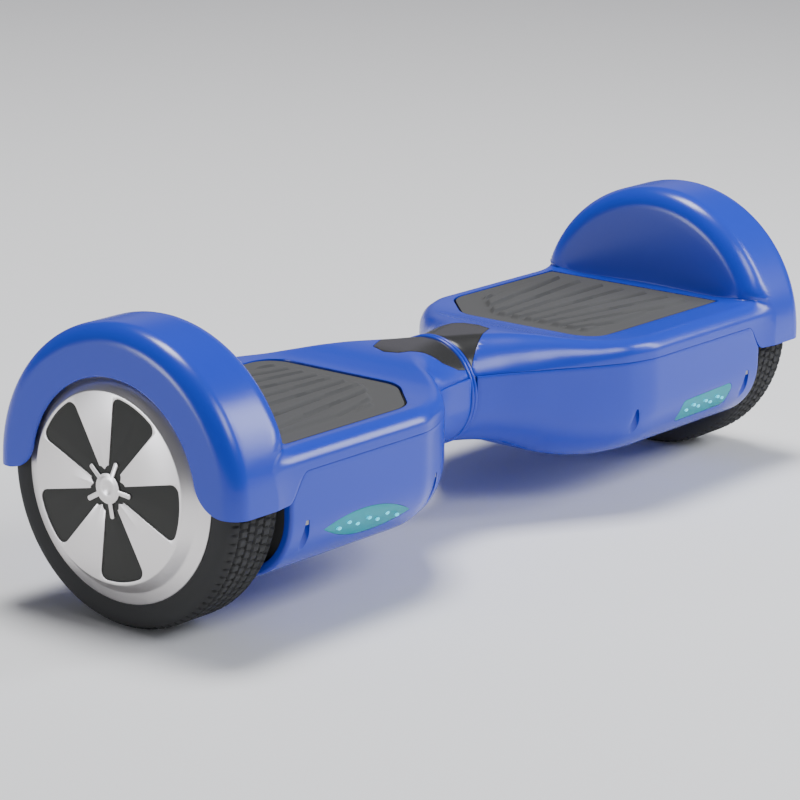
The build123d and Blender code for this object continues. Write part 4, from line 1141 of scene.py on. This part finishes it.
    def build(self, cutters: "Cutters") -> list[bpy.types.Object]:
        """Makes the shell's pieces.

        Args:
            cutters: What is cut out of the shell.

        Returns:
            Upper shell, lower shell, centre cover, lamp lens and wheel well wall.
        """
        name = self.side.value
        upper = thicken(face_out(self.upper_sheet().make(f"upper_shell_{name}", self.side)), self.wall)
        saddle = combine(copy_of(upper, f"saddle_{name}"), cutters.saddle(self.seam_gap), Cut.KEEP)
        upper = combine(upper, cutters.saddle(0.0), Cut.REMOVE)
        upper = combine(upper, cutters.pad(1.2), Cut.REMOVE)
        lower = thicken(face_out(self.lower_sheet().make(f"lower_shell_{name}", self.side)), self.wall)
        lens = combine(copy_of(lower, f"lamp_{name}"), cutters.lens(-0.25), Cut.KEEP)
        lower = combine(lower, cutters.lens(0.0), Cut.REMOVE)
        lower = combine(lower, self.bosses(), Cut.JOIN)
        lower = combine(lower, self.well_tools(), Cut.REMOVE)
        for tool in cutters.belly_and_sockets():
            lower = combine(lower, tool, Cut.REMOVE)
        pieces = []
        for made, finish, edge in (
            (upper, PAINT, self.edge_round), (lower, PAINT, self.edge_round),
            (saddle, GLOSS_BLACK, 0.7), (lens, LAMP_LENS, 0.6), (self.well_wall(), INNER, 0.0),
            (self.tray(cutters), INNER, 0.0),
        ):
            pieces.append(dress(soften(made, edge), finish))
        return pieces

    def well_wall(self) -> bpy.types.Object:
        """Flat wall between the shell and the wheel, with the axle's hole."""
        end = self.form.body_end
        ring = self.form.upper(
            end, self.seam, 12, 36, 2.9
        ) + self.form.lower(end, self.seam, 20, 20, 2.9)[1:-1]
        hole = [(13.0 * math.cos(math.atan2(z, y)), 13.0 * math.sin(math.atan2(z, y))) for y, z in ring]
        shape = Shape()
        loops = [[(x, y, z + self.form.axle) for y, z in loop] for x, loop in
                 ((end - 0.2, hole), (end - 0.2, ring), (end - 2.6, ring), (end - 2.6, hole))]
        shape.grid(loops + [loops[0]], closed=True)
        return face_out(shape.make(f"well_wall_{self.side.value}", self.side))

    def tray(self, cutters: "Cutters") -> bpy.types.Object:
        """Tray under the foot pad."""
        outside, inside = cutters.pad_outline(3.2), cutters.pad_outline(1.12)
        shape = Shape()
        floor, top = cutters.pad_bottom - 4.2, cutters.pad_bottom + 0.55
        loops = [[(x, y, z) for x, y in loop] for loop, z in
                 ((outside, floor), (outside, top), (inside, top), (inside, floor + 2.5))]
        shape.grid(loops, closed=True)
        wide = len(outside)
        shape.faces.append(tuple(range(wide - 1, -1, -1)))
        shape.faces.append(tuple(range(3 * wide, 4 * wide)))
        return face_out(shape.make(f"pad_tray_{self.side.value}", self.side))


@dataclass
class Cutters:
    """Outlines of what is let into the shell, in millimetres, and the blocks that cut them."""

    side: Side
    axle: float
    body_end: float
    half_width: float = 90.0
    pad_bottom: float = 108.2
    pad_start: float = 86.0
    pad_end: float = 230.0
    pad_square: float = 75.0
    pad_slant: float = 61.0
    pad_cut: float = 34.0
    pad_corner: float = 17.0
    pad_tip: float = 24.0
    lens_drop: float = 29.0
    lens_half: float = 8.5

    def pad_outline(self, extra: float) -> list[Point2]:
        """Plan outline of the foot pad, grown by extra."""
        square, slant = self.pad_square + extra, -self.pad_slant - extra
        start, end = self.pad_start - extra, self.pad_end + extra
        corner, tip = self.pad_corner + extra, self.pad_tip + extra
        corners = [(
            end, square
        ), (start + self.pad_cut, square), (start, square - self.pad_cut), (start, slant), (end, slant)]
        return rounded(corners, (2.0, tip, tip, corner, 2.0), 10)

    def pad(self, extra: float) -> bpy.types.Object:
        """Block in the pad's outline."""
        shape = Shape().prism(self.pad_outline(extra), upright, self.pad_bottom - 6.0, self.pad_bottom + 12.0)
        return face_out(shape.make("pad_tool", self.side))

    def saddle(self, gap: float) -> bpy.types.Object:
        """Block in the centre cover's outline, drawn smaller by gap."""
        start, reach = 2.3 + gap, 29.5 - gap
        corners = [
            (start, reach), (11.0, reach), (23.0, reach - 3.0), (31.0, reach - 11.5), (45.0, 9.5 - gap),
            (48.0 - gap, 0.0), (43.0 - gap, -13.0 + gap), (start, -reach),
        ]
        outline = rounded(corners, (0.0, 3.0, 5.0, 5.0, 3.0, 3.5, 4.0, 0.0), 6)
        shape = Shape().prism(outline, upright, self.axle + 16.0, self.axle + 60.0)
        return face_out(shape.make("saddle_tool", self.side))

    def lens(self, grow: float) -> bpy.types.Object:
        """Block through the flank in the lamp's shape: a leaf on the left, a slanted block on the right."""
        leaf = self.side is Side.LEFT
        face = 1.0 if leaf else -1.0
        middle = self.body_end - (67.0 if leaf else 56.0)
        level, half = self.axle - self.lens_drop, self.lens_half
        if leaf:
            tip, reach = 0.4 * half, 41.0
            top = self.bow((-reach, -tip), (-3.0, half + grow), (reach, tip), 24)
            back = self.bow((reach, tip), (3.0, -half - grow), (-reach, -tip), 24)
            outline = [(u * (1 + grow / reach), w) for u, w in top[:-1] + back[:-1]]
        else:
            reach, g = 30.0, grow
            corners = [
                (-reach - g, -half - g), (
                    reach - 3.0 + g, -half + 1.0 - g
                ), (reach + 1.0 + g, half + g), (-reach + 3.0 - g, half - 2.0 + g),
            ]
            outline = rounded(corners, (3.5, 4.5, 4.5, 3.5), 6)
        outline = [(middle + u, level + w) for u, w in outline]
        shape = Shape().prism(outline, outward, face * 40.0, face * (self.half_width + 20.0))
        return face_out(shape.make("lens_tool", self.side))

    def bow(self, start: Point2, middle: Point2, end: Point2, count: int) -> list[Point2]:
        """Arc through three points."""
        (ax, ay), (bx, by), (cx, cy) = start, middle, end
        d = 2 * (ax * (by - cy) + bx * (cy - ay) + cx * (ay - by))
        ux = ((ax**2 + ay**2) * (by - cy) + (bx**2 + by**2) * (cy - ay) + (cx**2 + cy**2) * (ay - by)) / d
        uy = ((ax**2 + ay**2) * (cx - bx) + (bx**2 + by**2) * (ax - cx) + (cx**2 + cy**2) * (bx - ax)) / d
        first, last = math.atan2(ay - uy, ax - ux), math.atan2(cy - uy, cx - ux)
        turn = (last - first + math.pi) % (2 * math.pi) - math.pi
        return arc((ux, uy), math.dist(start, (ux, uy)), math.degrees(first), math.degrees(turn), count)

    def belly_and_sockets(self) -> list[bpy.types.Object]:
        """Blocks for the left half's sound slots, button and charging socket."""
        if self.side is Side.RIGHT:
            return []
        slots = Shape()
        for n in range(5):
            middle = 12.0 - 6.0 * n
            outline = rounded([
                (117.0, middle - 1.2), (143.0, middle - 1.2), (143.0, middle + 1.2), (117.0, middle + 1.2)
            ], (1.19,) * 4, 5)
            slots.prism(outline, upright, self.axle - 60.0, self.axle - 45.0)
        sockets = Shape()
        for x, radius in ((150.0, 9.15), (185.0, 8.35)):
            ring = arc((x, self.axle - 3.0), radius, 0, 360, 64)[:-1]
            sockets.prism(ring, outward, -self.half_width - 8.0, -self.half_width + 8.0)
        return [
            face_out(slots.make("slot_tool", self.side)), face_out(sockets.make("socket_tool", self.side))
        ]


# ---- foot pad, wheel and lamp ------------------------------------------------------------------


@dataclass
class FootPad:
    """Rubber pad with a fan of rounded ribs inside a plain border, in millimetres."""

    side: Side
    cutters: Cutters
    thickness: float = 3.0
    rib_height: float = 2.4
    border: float = 13.0
    groove: float = 4.0
    pitch: float = 3.6
    fan: Point2 = (-70.0, 10.0)
    rib_fade: float = 3.0
    edge_round: float = 0.9

    def inside(self, outline: Sequence[Point2], x: float, y: float) -> float:
        """Distance of a point inside a convex outline, negative outside."""
        depth = 1e9
        for (ax, ay), (bx, by) in zip(outline, list(outline[1:]) + [outline[0]]):
            wide = math.dist((ax, ay), (bx, by))
            if wide > 1e-6:
                depth = min(depth, ((bx - ax) * (y - ay) - (by - ay) * (x - ax)) / wide)
        return depth

    def height(self, turn: float, reach: float, depth: float) -> float:
        """Height of the ribs over the border."""
        pitch = math.radians(self.pitch)
        place = (turn / pitch + 0.5) % 1.0 - 0.5
        half_wide = (pitch * reach - self.groove) / 2
        off = abs(place) * pitch * reach
        side = smooth((half_wide + 0.5 - off) / 1.3)
        end = smooth(depth / self.rib_fade)
        crown = 1.0 - 0.12 * (off / max(1.0, half_wide)) ** 2
        return self.rib_height * side * end * crown

    def build(self) -> bpy.types.Object:
        """Makes the pad."""
        rim = self.cutters.pad_outline(-self.border)
        area = sum(a[0] * b[1] - b[0] * a[1] for a, b in zip(rim, rim[1:] + rim[:1]))
        if area < 0:
            rim.reverse()
        top = self.cutters.pad_bottom + self.thickness
        rows = []
        for turn in [math.radians(a) for a in spaced(-27.0, 25.2, 210)]:
            row = []
            for across in spaced(self.cutters.pad_start - 3.0, self.cutters.pad_end + 3.0, 112):
                reach = (across - self.fan[0]) / math.cos(turn)
                x, y = across, self.fan[1] + reach * math.sin(turn)
                row.append((x, y, top + self.height(turn, reach, self.inside(rim, x, y))))
            rows.append(row)
        shape = Shape().grid(rows)
        wide, deep = len(rows[0]), len(rows)
        border = list(range(wide)) + [r * wide + wide - 1 for r in range(1, deep)]
        border += [
            (deep - 1) * wide + c for c in range(wide - 2, -1, -1)
        ] + [r * wide for r in range(deep - 2, 0, -1)]
        base = len(shape.points)
        for n in border:
            x, y, _ = shape.points[n]
            shape.points.append((x, y, self.cutters.pad_bottom - 5.0))
        for i in range(len(border)):
            j = (i + 1) % len(border)
            shape.faces.append((border[i], border[j], base + j, base + i))
        shape.faces.append(tuple(base + i for i in range(len(border))))
        made = face_out(shape.make(f"ribbed_pad_{self.side.value}", self.side))
        block = Shape().prism(self.cutters.pad_outline(0.0), upright, self.cutters.pad_bottom, top + 12.0)
        made = combine(made, face_out(block.make("pad_block", self.side)), Cut.KEEP)
        return dress(soften(made, self.edge_round, 50.0, 3), PAD_RUBBER)


@dataclass
class Wheel:
    """Polished wheel with its black inlay and block tread tyre, in millimetres."""

    side: Side
    axle: float
    face: float
    petals: int = 5
    petal_angle: float = 66.2
    petal_reach: float = 54.0
    petal_half: float = 17.5
    petal_corner: float = 5.0
    hub: float = 13.6
    inlay_depth: float = 2.4
    inlay_drop: float = 0.5
    face_radius: float = 56.3
    bevel_radius: float = 61.7
    bevel_depth: float = 6.5
    lip_depth: float = 9.2
    lip_radius: float = 69.2
    seat_radius: float = 63.0
    barrel_radius: float = 54.1
    tyre_radius: float = 85.0
    tyre_inner: float = 241.5
    tyre_outer: float = 284.0
    shoulder: float = 8.0
    tread_depth: float = 1.5
    block_count: int = 96
    block_rows: int = 6

    def petal_outline(self, gap: float) -> list[Point2]:
        """Outline of the inlay, five petals joined in the middle, drawn smaller by gap."""
        reach, half = self.petal_reach - gap, self.petal_half - gap
        hub = self.hub - gap
        out: list[Point2] = []
        step = 2 * math.pi / self.petals
        for n in range(self.petals):
            turn = math.radians(self.petal_angle) + n * step
            root = (hub * math.cos(0.36), hub * math.sin(0.36) - gap * 0.4)
            edge_x = math.sqrt(reach**2 - half**2)
            tip = math.atan2(half, edge_x)
            head = [(reach * math.cos(a), reach * math.sin(a)) for a in spaced(-tip, tip, 10)]
            corners = [(root[0], -root[1])] + head + [root]
            radii = [0.0, self.petal_corner - gap] + [0.0] * (len(head) - 2) + [self.petal_corner - gap, 0.0]
            radii = [min(r, 4.2) if r else 0.0 for r in radii]
            line = self.petal_line(head, root, gap)
            spoke_tip = self.hub - 2.6 - gap
            valley = [(hub * math.cos(a), hub * math.sin(a)) for a in spaced(0.36, step - 0.36, 6)[1:-1]]
            valley = [(x * (
                spoke_tip / hub + (1 - spoke_tip / hub) * abs(s)
            ), y * (spoke_tip / hub + (1 - spoke_tip / hub) * abs(s)))
                      for (x, y), s in zip(valley, spaced(-0.85, 0.85, len(valley) - 1))]
            for x, y in line + valley:
                out.append((x * math.cos(turn) - y * math.sin(turn), x * math.sin(turn) + y * math.cos(turn)))
        return out

    def petal_line(self, head: list[Point2], root: Point2, gap: float) -> list[Point2]:
        """One petal from its root over its head and back, with rounded corners."""
        inner = self.petal_corner - gap
        reach = math.hypot(*head[0])
        start, corner = Vector((root[0], root[1])), Vector(head[-1])
        way = (corner - start).normalized()
        normal = Vector((way.y, -way.x))
        lo, hi = 0.0, (corner - start).length
        for _ in range(40):
            t = (lo + hi) / 2
            middle = start + way * t + normal * inner
            if middle.length < reach - inner:
                lo = t
            else:
                hi = t
        middle = start + way * lo + normal * inner
        touch_line, touch_head = start + way * lo, middle.normalized() * reach
        first = math.atan2(touch_line.y - middle.y, touch_line.x - middle.x)
        last = math.atan2(touch_head.y - middle.y, touch_head.x - middle.x)
        turn = (last - first + math.pi) % (2 * math.pi) - math.pi
        corner_arc = arc((middle.x, middle.y), inner, math.degrees(first), math.degrees(turn), 8)
        top = math.atan2(touch_head.y, touch_head.x)
        arch = [(reach * math.cos(a), reach * math.sin(a)) for a in spaced(top, -top, 12)[1:-1]]
        upper = [(root[0], root[1])] + corner_arc
        whole = upper + arch + [(x, -y) for x, y in reversed(upper)]
        return list(reversed(whole))

    def on_face(self, y: float, z: float, x: float) -> Point3:
        """Places an outline square to the axle line."""
        return (x, y, z + self.axle)

    def rim(self) -> bpy.types.Object:
        """Polished wheel: face, bevel, lip and barrel."""
        face, lip = self.face, self.face - self.lip_depth
        profile = [
            (face, 0.02), (face, 30.0), (
                face, self.face_radius - 0.8
            ), (face - 0.25, self.face_radius - 0.25), (face - 0.8, self.face_radius + 0.25),
            (
                face - self.bevel_depth + 0.8, self.bevel_radius - 0.7
            ), (face - self.bevel_depth, self.bevel_radius),
            (
                face - self.bevel_depth - 0.4, self.bevel_radius + 0.9
            ), (lip + 0.5, self.lip_radius - 0.9), (lip + 0.1, self.lip_radius - 0.2),
            (lip - 0.4, self.lip_radius), (lip - 3.0, self.lip_radius), (lip - 3.0, self.seat_radius),
            (self.tyre_inner + 5.6, self.seat_radius), (self.tyre_inner + 5.6, self.barrel_radius + 0.2),
            (face - 5.0, self.barrel_radius + 0.2), (face - 5.0, 0.02),
        ]
        made = face_out(
            Shape().lathe(profile, self.axle, 180).make(f"polished_rim_{self.side.value}", self.side)
        )
        tool = Shape().prism(self.petal_outline(0.0), self.on_face, face - self.inlay_depth, face + 3.0)
        made = combine(made, face_out(tool.make("petal_tool", self.side)), Cut.REMOVE)
        return dress(soften(made, 0.5, 38.0, 2), POLISHED)

    def inlay(self) -> bpy.types.Object:
        """Black inlay in the wheel's face."""
        shape = Shape().prism(self.petal_outline(
            0.12
        ), self.on_face, self.face - self.inlay_depth + 0.05, self.face - self.inlay_drop)
        made = face_out(shape.make(f"wheel_inlay_{self.side.value}", self.side))
        return dress(soften(made, 0.35, 38.0, 2), INLAY_BLACK)

    def star(self) -> bpy.types.Object:
        """Small silver star in the middle of the inlay."""
        out: list[Point2] = []
        step = 2 * math.pi / self.petals
        for n in range(self.petals):
            turn = math.radians(self.petal_angle) + n * step
            arm = rounded([(8.6, -1.5), (17.5, -1.5), (17.5, 1.5), (8.6, 1.5)], (0.0, 1.3, 1.3, 0.0), 5)
            waist = [(8.9 * math.cos(a), 8.9 * math.sin(a)) for a in spaced(0.24, step - 0.24, 6)]
            for x, y in arm + waist:
                out.append((x * math.cos(turn) - y * math.sin(turn), x * math.sin(turn) + y * math.cos(turn)))
        floor = self.face - self.inlay_drop
        made = face_out(Shape().prism(
            out, self.on_face, floor + 0.02, floor + 0.95
        ).make(f"wheel_star_{self.side.value}", self.side))
        cap = Shape().lathe([(floor + 0.9, 0.02), (floor + 0.9, 7.2), (
            floor + 1.25, 6.6
        ), (floor + 1.25, 3.4), (floor + 0.95, 2.9), (floor + 0.95, 0.02)], self.axle, 64)
        made = combine(made, face_out(cap.make("cap_tool", self.side)), Cut.JOIN)
        return dress(soften(made, 0.2, 38.0, 2), POLISHED)

    def tread(self, turn: float, across: float) -> float:
        """How far the rubber stands in at a place, from 0 on a block to 1 in a groove."""
        row = across * self.block_rows
        number = math.floor(row)
        side = abs(row - number - 0.5) * 2
        shift = 0.5 if number % 2 else 0.0
        slant = 0.22 * (0.5 - abs(row - self.block_rows / 2) / self.block_rows)
        lot = (turn / (2 * math.pi) * self.block_count + shift + slant * 4) % 1.0
        end = abs(lot - 0.5) * 2
        edge = 0 < number < self.block_rows - 1
        groove = smooth((end - 0.66) / 0.16)
        gutter = smooth(
            (side - 0.74) / 0.14
        ) if (edge or (number == 0 and row > 0.5) or (number and row - number < 0.5)) else 0.0
        return max(groove, gutter)

    def tyre(self) -> bpy.types.Object:
        """Solid tyre with rows of small blocks."""
        inner, outer, top = self.tyre_inner, self.tyre_outer, self.tyre_radius
        lip, r = self.lip_radius, self.shoulder
        crown = arc((inner + r, top - r), r, 180, -90, 10) + [
            (
                x, top
            ) for x in spaced(inner + r, outer - r, 44)[1:-1]] + arc((outer - r, top - r), r, 90, -90, 10)
        profile = [(inner, lip + 0.1)] + crown + [(
            outer - 0.05, lip + 1.8
        ), (outer - 0.5, lip + 0.7), (outer - 0.5, lip + 0.05), (outer - 3.4, lip + 0.05),
                   (
                       outer - 3.4, self.seat_radius + 0.1
                   ), (inner + 5.7, self.seat_radius + 0.1), (inner + 5.7, lip + 0.1)]
        total = length_of(crown)
        runs, run = [None], 0.0
        for a, b in zip([crown[0]] + crown, crown):
            run += math.dist(a, b)
            runs.append(run / total)
        runs += [None] * (len(profile) - len(runs))
        steps = self.block_count * 8
        shape = Shape()
        tall = len(profile)
        for s in range(steps):
            a = 2 * math.pi * s / steps
            for (x, reach), share in zip(profile, runs):
                drop = 0.0
                if share is not None and 0.13 < share < 0.87:
                    fade = smooth(min(share - 0.13, 0.87 - share) / 0.03)
                    drop = self.tread_depth * fade * self.tread(a, (share - 0.13) / 0.74)
                level = reach - drop
                shape.points.append((x, level * math.cos(a), self.axle + level * math.sin(a)))
        for s in range(steps):
            for p in range(tall):
                q, t = (p + 1) % tall, (s + 1) % steps
                shape.faces.append((s * tall + p, s * tall + q, t * tall + q, t * tall + p))
        made = face_out(shape.make(f"block_tyre_{self.side.value}", self.side))
        return dress(soften(made, 0.0, 40.0), TYRE_RUBBER)


@dataclass
class CentreRing:
    """Trim ring between the halves: two round beads with a dark gap."""

    axle: float
    neck: float = 34.0
    bead: float = 1.45
    apart: float = 1.55

    def build(self) -> bpy.types.Object:
        """Makes the ring."""
        floor = self.neck - 2.6
        base = self.neck - 0.4
        profile = [(-3.0, floor), (-3.0, base)]
        profile += arc((-self.apart, base), self.bead, 180, -180, 12)
        profile += arc((self.apart, base), self.bead, 180, -180, 12)
        profile += [(3.0, base), (3.0, floor)]
        shape = Shape().lathe(profile, self.axle, 160)
        return dress(soften(face_out(shape.make("beaded_ring")), 0.0, 50.0), PAINT)


@dataclass
class Lamp:
    """What shows through a lamp's lens: bright spots on its inner side."""

    side: Side
    cutters: Cutters

    def spots(self) -> bpy.types.Object:
        """Small bright drops under the lens face."""
        leaf = self.side is Side.LEFT
        face = 1.0 if leaf else -1.0
        middle = self.cutters.body_end - (67.0 if leaf else 56.0)
        level = self.cutters.axle - self.cutters.lens_drop
        shape = Shape()
        reach = 27.0 if leaf else 21.0
        for n, along_x in enumerate(spaced(-reach, reach, 6)):
            lift = (1.2 if n % 2 else -1.2) + (0.08 * along_x if leaf else 0.0)
            ring = [(
                middle + along_x + 1.7 * math.cos(a), level + lift + 1.0 * math.sin(a)
            ) for a in spaced(0, 2 * math.pi, 12)[:-1]]
            shape.prism(ring, outward, face * (
                self.cutters.half_width - 3.6
            ), face * (self.cutters.half_width - 0.9 - (2.0 if lift < 0 else 0.6)))
        return dress(soften(face_out(shape.make(f"lamp_spots_{self.side.value}", self.side)), 0.0), LAMP_SPOT)


# ---- stage -------------------------------------------------------------------------------------


@dataclass
class Studio:
    """Floor, soft lights and camera."""

    camera_at: Point3 = (-1.55447, -1.20970, 0.59910)
    heading: float = 0.6712
    pitch: float = -0.2588
    roll: float = 0.0130
    lens: float = 146.07
    room_light: float = 0.10
    wall_light: float = 1.0

    def camera(self) -> None:
        """Makes the camera."""
        data = bpy.data.cameras.new("camera")
        data.lens, data.sensor_width = self.lens, 36.0
        data.clip_start, data.clip_end = 0.05, 50.0
        made = bpy.data.objects.new("camera", data)
        bpy.context.scene.collection.objects.link(made)
        a, e, r = self.heading, self.pitch, self.roll
        forward = Vector((math.cos(a) * math.cos(e), math.sin(a) * math.cos(e), math.sin(e)))
        right = Vector((math.sin(a), -math.cos(a), 0.0))
        up = right.cross(forward)
        across = right * math.cos(r) + up * math.sin(r)
        above = up * math.cos(r) - right * math.sin(r)
        turn = Matrix((across, above, -forward)).transposed().to_4x4()
        made.matrix_world = Matrix.Translation(self.camera_at) @ turn
        bpy.context.scene.camera = made

    def soft_box(
        self, name: str, at: Point3, target: Point3, size: tuple[float, float], power: float, colour: Colour
    ) -> None:
        """Makes one rectangular soft light that faces a target."""
        data = bpy.data.lights.new(name, "AREA")
        data.shape, data.size, data.size_y = "RECTANGLE", size[0], size[1]
        data.energy, data.color = power, colour
        made = bpy.data.objects.new(name, data)
        bpy.context.scene.collection.objects.link(made)
        made.location = at
        made.visible_camera = False
        made.rotation_mode = "QUATERNION"
        made.rotation_quaternion = (Vector(target) - Vector(at)).to_track_quat("-Z", "Y")

    def build(self) -> None:
        """Makes the floor, the lights and the camera."""
        data = bpy.data.meshes.new("floor")
        data.from_pydata([(-12, -12, 0), (12, -12, 0), (12, 12, 0), (-12, 12, 0)], [], [(0, 1, 2, 3)])
        floor = bpy.data.objects.new("floor", data)
        bpy.context.scene.collection.objects.link(floor)
        paint = bpy.data.materials.new("floor_paint")
        paint.use_nodes = True
        shader = paint.node_tree.nodes["Principled BSDF"]
        shader.inputs["Base Color"].default_value = (0.9, 0.9, 0.9, 1.0)
        shader.inputs["Roughness"].default_value = 0.9
        shader.inputs["Specular IOR Level"].default_value = 0.1
        floor.data.materials.append(paint)
        world = bpy.data.worlds.new("studio")
        world.use_nodes = True
        tree = world.node_tree
        room = tree.nodes["Background"]
        room.inputs["Color"].default_value = (0.92, 0.93, 1.0, 1.0)
        room.inputs["Strength"].default_value = self.room_light
        wall = tree.nodes.new("ShaderNodeBackground")
        wall.inputs["Color"].default_value = (1.0, 1.0, 1.0, 1.0)
        wall.inputs["Strength"].default_value = self.wall_light
        mixed, path = tree.nodes.new("ShaderNodeMixShader"), tree.nodes.new("ShaderNodeLightPath")
        tree.links.new(path.outputs["Is Camera Ray"], mixed.inputs["Fac"])
        tree.links.new(room.outputs["Background"], mixed.inputs[1])
        tree.links.new(wall.outputs["Background"], mixed.inputs[2])
        tree.links.new(mixed.outputs["Shader"], tree.nodes["World Output"].inputs["Surface"])
        bpy.context.scene.world = world
        self.soft_box("overhead", (0.3, 0.4, 3.4), (0.0, 0.0, 0.1), (1.1, 1.1), 120.0, (1.0, 1.0, 1.0))
        self.soft_box(
            "front_box", (1.25, -1.14, 0.88), (-0.27, -0.08, 0.13), (0.34, 1.0), 18.0, (0.90, 0.93, 1.0)
        )
        self.soft_box(
            "side_box", (-0.01, -1.58, 1.39), (0.04, -0.05, 0.1), (0.7, 0.7), 16.0, (0.90, 0.93, 1.0)
        )
        self.soft_box(
            "end_box", (-2.0, 0.97, 0.27), (-0.29, -0.03, 0.15), (0.42, 0.5), 10.0, (0.90, 0.93, 1.0)
        )
        self.soft_box("back_box", (2.4, 1.9, 1.0), (0.0, 0.0, 0.1), (2.6, 1.0), 3.0, (0.86, 0.82, 1.0))
        self.camera()


# ---- the whole board ---------------------------------------------------------------------------


@dataclass
class Board:
    """The whole board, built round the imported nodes."""


    def axle(self) -> float:
        """Height of the axle line in millimetres."""
        low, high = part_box("wheel_rim_right")
        return (low.z + high.z) / 2 / MM

    def keep(self, made: bpy.types.Object, body: str, slot: str, *nodes: str) -> None:
        """Hangs a piece on its body and hides the nodes that it stands for."""
        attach(made, body)
        if nodes:
            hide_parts(*nodes)
        LOG.info("%s rides on %s with %d faces", made.name, body, len(made.data.polygons))

    def half(self, side: Side) -> None:
        """Makes one half of the board."""
        name, axle = side.value, self.axle()
        turn = side.turn
        cover_low, cover_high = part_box(f"top_cover_{name}")
        body_end = max(cover_high.x * turn, cover_low.x * turn) / MM
        fender_low, fender_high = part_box(f"fender_{name}")
        front = max(fender_high.x * turn, fender_low.x * turn) / MM
        crown = fender_high.z / MM - axle
        rim_low, rim_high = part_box(f"wheel_rim_{name}")
        face = max(rim_high.x * turn, rim_low.x * turn) / MM
        form = BodyForm(axle=axle, body_end=body_end)
        cutters = Cutters(side=side, axle=axle, body_end=body_end)
        shell = Shell(side=side, form=form, fender=FenderForm(back=body_end, front=front, crown=crown))
        upper, lower, saddle, lens, wall, tray = shell.build(cutters)
        self.keep(upper, side.half_body, "blue_paint", f"top_cover_{name}", f"fender_{name}")
        self.keep(lower, side.half_body, "blue_paint", f"bottom_cover_{name}")
        self.keep(saddle, side.half_body, "gloss_black", f"centre_cover_{name}")
        self.keep(lens, side.half_body, "lamp_lens", f"led_lens_{name}")
        self.keep(wall, side.half_body, "inner_plastic")
        self.keep(tray, side.half_body, "inner_plastic")
        self.keep(Lamp(side, cutters).spots(), side.half_body, "lamp_lens")
        self.keep(FootPad(side, cutters).build(), f"pad_{name}", "pad_rubber", f"foot_pad_{name}")
        wheel = Wheel(side=side, axle=axle, face=face)
        self.keep(wheel.rim(), f"wheel_{name}", "polished_aluminium", f"wheel_rim_{name}")
        self.keep(wheel.inlay(), f"wheel_{name}", "inlay_black", f"wheel_petals_{name}")
        self.keep(wheel.star(), f"wheel_{name}", "polished_aluminium", f"wheel_spider_{name}")
        self.keep(wheel.tyre(), f"wheel_{name}", "tyre_rubber", f"tyre_{name}")

    def carried(self) -> None:
        """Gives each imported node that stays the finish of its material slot."""
        for part in frame["record"]["subparts"]:
            node = frame["nodes"][part["node"]]
            finish = FINISHES[part["material_slot"]]
            material = finish.material()
            if node.material_slots:
                for place in node.material_slots:
                    place.material = material
            else:
                node.data.materials.append(material)
            LOG.debug("%s is finished as %s", part["node"], finish.name)

    def build(self) -> None:
        """Makes the whole board."""
        self.carried()
        for side in Side:
            self.half(side)
        self.keep(CentreRing(self.axle()).build(), "left_half", "blue_paint", "centre_ring")


def main() -> None:
    """Builds the studio and the board."""
    logging.basicConfig(level=logging.INFO, format="%(name)s: %(message)s")
    Studio().build()
    Board().build()
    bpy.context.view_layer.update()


if __name__ == "__main__":
    main()
